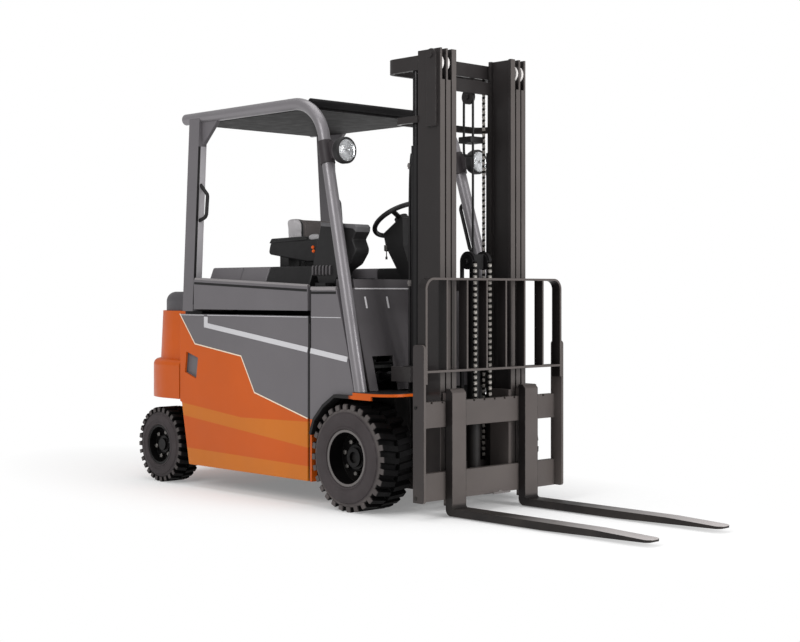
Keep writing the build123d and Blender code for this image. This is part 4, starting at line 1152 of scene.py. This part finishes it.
RAIL_R = 0.011
SHADOW_LINE = (0.016, 0.03)
BELT_RAIL = [(-1.4, 1.252), (-0.87, 1.2295), (-0.343, 1.207)]
PANEL_RAIL = [(-0.316, 1.194), (-0.21, 1.194), (-0.108, 1.194)]


# Belt rails painted pale as a painted highlight, each with a black strip under it as a painted shadow.
def make_belt_rails():
    for side, sign in SIDES.items():
        y = sign * (SKIN_Y - 0.012)
        rail = bent_tube([(ahead(x), y, z) for x, z in BELT_RAIL], RAIL_R)
        piece(f"belt_rail_{side}", rail, rail_highlight_paint, "hood")
        piece(f"belt_line_{side}", skin_strip(BELT_RAIL, sign, SHADOW_LINE, SKIN_Y), soot_paint, "hood")
    right = bent_tube([(ahead(x), 0.005 - RECESS_Y, z) for x, z in PANEL_RAIL], RAIL_R)
    piece("panel_rail_right", right, rail_highlight_paint, "chassis")
    line = skin_strip(PANEL_RAIL, SIDES["right"], SHADOW_LINE, RECESS_Y)
    piece("panel_line_right", line, soot_paint, "chassis")


make_belt_rails()


# Raised cover on the hood, with a black shield beside the seat

COVER_FOOT = 1.2
COVER_TOP = 1.322
COVER_FOOT_Y = 0.52
COVER_TOP_Y = 0.472
SHIELD_IN = 0.37
COVER_X = (-1.384, -1.06)
SHIELD_X = (-0.83, -0.43)


def hood_block(across, rear, front):
    return prism(across, ahead(rear), ahead(front), "X", bevel=0.012, steps=3)


def make_hood_cover():
    across = [(-COVER_FOOT_Y, COVER_FOOT), (-COVER_TOP_Y, COVER_TOP), (COVER_TOP_Y, COVER_TOP),
              (COVER_FOOT_Y, COVER_FOOT)]
    covers = [hood_block(across, *COVER_X)]
    shields = []
    for sign in SIDES.values():
        side = [(sign * COVER_FOOT_Y, COVER_FOOT), (sign * COVER_TOP_Y, COVER_TOP), (sign * SHIELD_IN, COVER_TOP),
                (sign * SHIELD_IN, COVER_FOOT)]
        covers.append(hood_block(side, COVER_X[1] - 0.03, SHIELD_X[0]))
        shields.append(hood_block(side, SHIELD_X[0] + 0.004, SHIELD_X[1]))
    piece("hood_cover", merged(*covers), grey_panel, "hood")
    piece("seat_shields", merged(*shields), black_plastic, "hood")


make_hood_cover()


# Driver's place

CONSOLE_OUT = 0.5
CONSOLE_IN = 0.4
CONSOLE_TOP = [(-0.346, 1.562), (-0.062, 1.543), (-0.046, 1.528), (-0.05, 1.5), (-0.075, 1.52), (-0.34, 1.54)]
BELLOWS = [(-0.506, 1.266), (-0.42, 1.266), (-0.414, 1.272), (-0.414, 1.316), (-0.42, 1.324), (-0.506, 1.324),
           (-0.513, 1.316), (-0.513, 1.272)]
BELLOWS_STEP = 0.029
LOUVRE_STEP = 0.03


def make_console():
    cap = prism(from_side(CONSOLE_TOP), -CONSOLE_OUT - 0.004, -CONSOLE_IN + 0.004, bevel=0.005)
    piece("console_cap", cap, cap_plastic, "chassis")
    fold = prism(BELLOWS, -0.0055, 0.0055, "X", bevel=0.004, steps=1)
    folds = row_of(fold, bellows_rubber, 6, (ahead(-0.404), 0, 0), (BELLOWS_STEP, 0, 0))
    piece("console_bellows", folds, bellows_rubber, "chassis")
    slat = prism([(-0.05, -0.006), (0.05, -0.006), (0.05, 0.006), (-0.05, 0.006)], 0, 0.005, "Z", bevel=0.002)
    slats = row_of(slat, black_plastic, 6, (ahead(-0.127), -0.49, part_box("front_cowl")[1].z), (0, LOUVRE_STEP, 0))
    piece("dash_louvre", slats, black_plastic, "chassis")


make_console()

PAD = [(-0.992, 1.464), (-0.97, 1.492), (-0.665, 1.498), (-0.64, 1.476)]
KNOB = [(-0.046, 0.0), (-0.046, 0.008), (-0.036, 0.015), (-0.014, 0.02), (0.012, 0.019), (0.03, 0.014),
        (0.044, 0.012), (0.048, 0.0)]
KNOB_AT = (-0.59, -0.03, 1.49)
BUTTON_SHAPE = [(0.0, 0.0), (0.0, 0.01), (-0.004, 0.01), (-0.0045, 0.008), (-0.009, 0.007), (-0.01, 0.0)]
BUTTONS_AT = [(-0.585, 1.432), (-0.58, 1.41)]
ARM_OUT, ARM_IN = [corner.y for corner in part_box("armrest")]


def make_arm_controls():
    pad = prism(from_side(PAD), ARM_OUT - 0.002, ARM_IN + 0.002, bevel=0.007, steps=3)
    piece("arm_pad", pad, seat_vinyl, "hood")
    middle = (ARM_OUT + ARM_IN) / 2
    x, y, z = KNOB_AT
    knob = turned(KNOB, (ahead(x), middle + y, z), "X", 24)
    piece("arm_knob", knob, knob_plastic, "hood")
    buttons = [turned(BUTTON_SHAPE, (x, ARM_OUT, z), "Y", 20) for x, z in from_side(BUTTONS_AT)]
    piece("arm_buttons", merged(*buttons), button_plastic, "hood")


make_arm_controls()

KEY_AT = (-0.285, -0.055, 1.424)
KEY_BLADE = [(-0.003, 0.0), (0.003, 0.0), (0.003, -0.03), (0.008, -0.034), (0.008, -0.048), (-0.008, -0.048),
             (-0.008, -0.034), (-0.003, -0.03)]
LOCK = [(-0.02, 0.0), (-0.02, 0.014), (0.012, 0.014), (0.012, 0.011), (0.016, 0.01), (0.016, 0.0)]


def make_key():
    x, y, z = KEY_AT
    lock = turned([(z - t, r) for t, r in LOCK], (ahead(x), y, 0), "Z", 20)
    blade = prism([(ahead(x) + a, z - 0.014 + b) for a, b in KEY_BLADE], y - 0.0012, y + 0.0012)
    piece("start_key", merged(lock, blade), zinc, "chassis")


make_key()

PEDALS = [(-0.13, 0.05), (-0.23, 0.09)]
PEDAL_SIDE = [(-0.14, 0.79), (-0.128, 0.786), (-0.075, 0.9), (-0.087, 0.906)]


def make_pedals():
    pads = [prism(from_side(PEDAL_SIDE), y - width / 2, y + width / 2, bevel=0.003) for y, width in PEDALS]
    piece("foot_pedals", merged(*pads), black_plastic, "chassis")


make_pedals()


# Mast fittings

STAGES = {"mast_outer": 0.335, "mast_middle": 0.292}
ROLLER_X = 0.381
ROLLER_R = 0.0465
ROLLER_DROP = 0.075
MAST_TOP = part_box("mast_outer")[1].z
ROLLER = [(0.013, 0.0), (0.013, 0.92), (0.0145, 1.0), (0.0285, 1.0), (0.03, 0.92), (0.0315, 0.3),
          (0.0335, 0.3), (0.0335, 0.0)]


# The rollers' pale paint is a painted reflection of bright steel.
def make_rollers():
    for body, outside in STAGES.items():
        rollers = []
        for sign in SIDES.values():
            shape = [(sign * (outside - t), r * ROLLER_R) for t, r in ROLLER]
            rollers.append(turned(shape, (ahead(ROLLER_X), 0, MAST_TOP - ROLLER_DROP), "Y", 40))
        piece(f"{body}_rollers", merged(*rollers), roller_reflection_paint, body)


make_rollers()

PULLEY = (0.212, 0.104, MAST_TOP - 0.2)
PULLEY_GROOVE = 0.035
FEED_R = 0.007
FEED_FOOT = 0.24
FEED_BEND = 1.93
CLAMP_Z = 2.02


def make_mast_pipes():
    """Pipe fixed to the middle stage, bent over the pulley and back, with a clamp across it."""
    x, y, z = PULLEY
    front, back = x + PULLEY_GROOVE, x - PULLEY_GROOVE
    over = [(x + PULLEY_GROOVE * cos(pi * k / 8), z + PULLEY_GROOVE * sin(pi * k / 8)) for k in range(9)]
    line = [(front, FEED_FOOT), (front, 0.7), (front, 1.5), (front, CLAMP_Z), *over, (back, CLAMP_Z),
            (back, FEED_BEND + 0.03), (back + 0.005, FEED_BEND), (back + 0.03, FEED_BEND), (front, FEED_BEND)]
    pipe = bent_tube([(ahead(a), y, b) for a, b in line], FEED_R, 6)
    grip = [(back - 0.014, CLAMP_Z - 0.018), (front + 0.012, CLAMP_Z - 0.018), (front + 0.012, CLAMP_Z + 0.018),
            (back - 0.014, CLAMP_Z + 0.018)]
    clamp = prism(from_side(grip), y - 0.03, y + 0.07, bevel=0.004)
    piece("mast_pipes", merged(pipe, clamp), black_plastic, "mast_middle")


make_mast_pipes()

PIPE_AT = (0.168, 0.306)
PIPE_R = 0.008
PIPE_FOOT = 0.42
PIPE_TOP = 1.92
UNIONS = (1.854, 1.223)
UNION = [(-0.016, 0.0), (-0.016, 0.011), (-0.006, 0.011), (-0.005, 0.014), (0.009, 0.014), (0.01, 0.011),
         (0.016, 0.011), (0.016, 0.0)]


def make_lift_pipes():
    """Feed pipes that run up beside the lift barrels."""
    pipes, unions = [], []
    x, y = PIPE_AT
    for sign in SIDES.values():
        run = [(x + 0.016, y, PIPE_FOOT), (x, y, PIPE_FOOT + 0.05), (x, y, 1.2), (x, y, PIPE_TOP - 0.05),
               (x + 0.016, y, PIPE_TOP)]
        pipes.append(bent_tube([(ahead(a), sign * b, c) for a, b, c in run], PIPE_R))
        unions += [turned(UNION, (ahead(x), sign * y, z), "Z", 6) for z in UNIONS]
    piece("lift_pipes", merged(*pipes), soot_paint, "mast_outer")
    piece("pipe_unions", merged(*unions), ring_grey, "mast_outer", 20)


make_lift_pipes()


def make_stage_chains():
    chains = chain_pair("stage_chains", "mast_chains", 0.018, "mast_middle")
    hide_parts("mast_chains")


make_stage_chains()


# Bolts and small fittings

BOLT = [(0.0, 0.0), (0.0, 0.011), (0.0015, 0.011), (0.0015, 0.0085), (0.006, 0.0085), (0.0075, 0.006), (0.0075, 0.0)]
SIDE_BOLTS = (0.464, 0.114, 0.467)


def make_side_bolts():
    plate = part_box("carriage")[1].y
    heads = []
    for sign in SIDES.values():
        head = turned([(sign * (plate + t), r) for t, r in BOLT], (0, 0, 0), "Y", 6)
        x, z, step = SIDE_BOLTS
        heads.append(row_of(head, soot_paint, 2, (ahead(x), 0, z), (0, 0, step)))
    piece("carriage_bolts", merged(*heads), soot_paint, "carriage", 20)


make_side_bolts()

LATCH = [(-0.07, 0.088), (-0.066, 0.098), (-0.03, 0.098), (-0.026, 0.106), (-0.006, 0.106), (-0.002, 0.098),
         (0.062, 0.098), (0.066, 0.088)]
LATCH_Y = 0.04


def make_latch():
    """Bright stop in the middle of the carriage's lower bar."""
    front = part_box("carriage")[1].x
    stop = prism([(LATCH_Y + y, z + 0.006) for y, z in LATCH], front - 0.004, front + 0.004, "X", bevel=0.0015)
    piece("bar_latch", stop, ring_grey, "carriage")


make_latch()

LOCK_RING = [(-0.006, 0.138), (-0.012, 0.142), (-0.0125, 0.149), (-0.009, 0.153), (0.002, 0.151), (0.002, 0.14)]


def make_lock_rings():
    """Rolled ring in front of each front tyre's bead."""
    for side, sign in SIDES.items():
        face = max(abs(corner.y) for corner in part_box(f"front_rim_{side}"))
        middle = centre_of(f"front_rim_{side}")
        ring = turned([(sign * (face - 0.004 - t * 0.5), r) for t, r in LOCK_RING], (middle.x, 0, middle.z), "Y", 64)
        piece(f"lock_ring_{side}", ring, ring_grey, f"front_wheel_{side}")


make_lock_rings()

SLOT_Y = (-0.449, -0.287)
SLOT_Z = (1.087, 1.15)
SLOT_W = 0.012
SLOT_PROUD = 0.0015
COWL_EDGE_Z = (1.19, 1.197)
COWL_EDGE_Y = 0.512
COWL_LINE = ((0.106, 0.632), (-0.332, 2.238))


def cowl_x(z):
    """Front face of the sloping cowl at a height."""
    (x0, z0), (x1, z1) = COWL_LINE
    return ahead(x0 + (x1 - x0) * (z - z0) / (z1 - z0))


def cowl_bar(y0, y1, levels, sunk):
    """Strip on the cowl's face between two heights."""
    ends = []
    for z in levels:
        back, front = cowl_x(z) - sunk, cowl_x(z) + SLOT_PROUD
        ends.append([(back, y0, z), (front, y0, z), (front, y1, z), (back, y1, z)])
    return bar(ends)


def make_cowl_slots():
    """Pale slots in the cowl, and the pale edge along its top."""
    slots = [cowl_bar(-COWL_EDGE_Y, COWL_EDGE_Y, COWL_EDGE_Z, 0.004)]
    slots += [cowl_bar(y - SLOT_W / 2, y + SLOT_W / 2, SLOT_Z, 0.001) for y in SLOT_Y]
    piece("cowl_slots", merged(*slots), slot_grey, "chassis")


make_cowl_slots()


# Stage, light and camera

SHADOW_MIDDLE = 0.65
SHADOW_SHARE = 0.45
SHADOW_REACH = (0.6, 1.5)
SHADOW_FLOOR = 0.2
FLOOR_TONE = (0.9, 0.92)
FLOOR_FADE = (1.4, 4.2, 0.68, 1.0)
WHITE = (1, 1, 1, 1)
WORLD_LEVEL = 0.42
# Name, place, aim, size in metres and power in watts
LIGHTS = [
    ("key", (1.5, -8.0, 6.0), (0, 0, 0.9), (4.0, 5.0), 380),
    ("front", (8.5, 1.5, 3.0), (0.4, 0, 1.0), (3.0, 4.0), 460),
    ("top", (-0.5, 0.0, 7.5), (0, 0, 0), (6.0, 5.0), 240),
]


def make_floor():
    """Pale floor that is white far off and keeps the truck's shadow near it."""
    made = bmesh.new()
    bmesh.ops.create_grid(made, x_segments=1, y_segments=1, size=60.0)
    floor = placed("floor", as_mesh(made, "floor"))
    material, w, shader = blank_material("pale_floor")
    place = w.place()
    grain = w.ramp(w.noise(place, 30.0, 4.0), 0.3, 0.7, *FLOOR_TONE)
    tone = w.add("ShaderNodeCombineColor", {0: grain, 1: grain, 2: grain}).outputs[0]
    w.fill(shader, {"Base Color": tone, "Roughness": 0.9, "Specular IOR Level": 0.1})
    reach = w.add("ShaderNodeVectorMath", {0: place}, operation="LENGTH").outputs["Value"]
    far = w.ramp(reach, *FLOOR_FADE)
    x, y, z = from_axle(w)
    along = w.times(w.plus(x, SHADOW_MIDDLE), SHADOW_SHARE)
    oval = w.math("SQRT", w.plus(w.times(along, along), w.times(y, y)))
    path = w.add("ShaderNodeLightPath").outputs
    mirrored = w.either(path["Is Glossy Ray"], path["Is Transmission Ray"])
    shown = w.either(path["Is Camera Ray"], mirrored)
    share = w.ramp(shown, 0.0, 1.0, far, w.ramp(oval, *SHADOW_REACH, SHADOW_FLOOR, 1.0))
    white = w.add("ShaderNodeEmission", {"Color": WHITE, "Strength": 1.0})
    blend = w.add("ShaderNodeMixShader", {0: share, 1: shader.outputs[0], 2: white.outputs[0]})
    w.fill(material.node_tree.nodes["Material Output"], {"Surface": blend.outputs[0]})
    floor.data.materials.append(material)


def make_world():
    world = bpy.data.worlds.new("studio")
    bpy.context.scene.world = world
    world.use_nodes = True
    w = Wiring(world.node_tree)
    path = w.add("ShaderNodeLightPath").outputs
    shown = w.either(path["Is Camera Ray"], path["Is Transmission Ray"])
    level = w.ramp(shown, 0.0, 1.0, WORLD_LEVEL, 1.0)
    w.fill(world.node_tree.nodes["Background"], {"Color": WHITE, "Strength": level})


def area_light(name, place, aim, size, power):
    data = bpy.data.lights.new(name, "AREA")
    data.shape = "RECTANGLE"
    data.size, data.size_y = size
    data.energy = power
    lamp = placed(name, data)
    lamp.location = place
    lamp.rotation_euler = (Vector(aim) - Vector(place)).to_track_quat("-Z", "Y").to_euler()


def make_camera():
    data = bpy.data.cameras.new("camera")
    data.lens = LENS
    data.sensor_width = 36.0
    data.shift_y = HORIZON_SHIFT
    camera = placed("camera", data)
    camera.location = CAMERA_AT
    camera.rotation_euler = (radians(90), 0, radians(CAMERA_TURN))
    bpy.context.scene.camera = camera


make_floor()
make_world()
for light in LIGHTS:
    area_light(*light)
make_camera()
bpy.context.scene.view_settings.view_transform = "Standard"
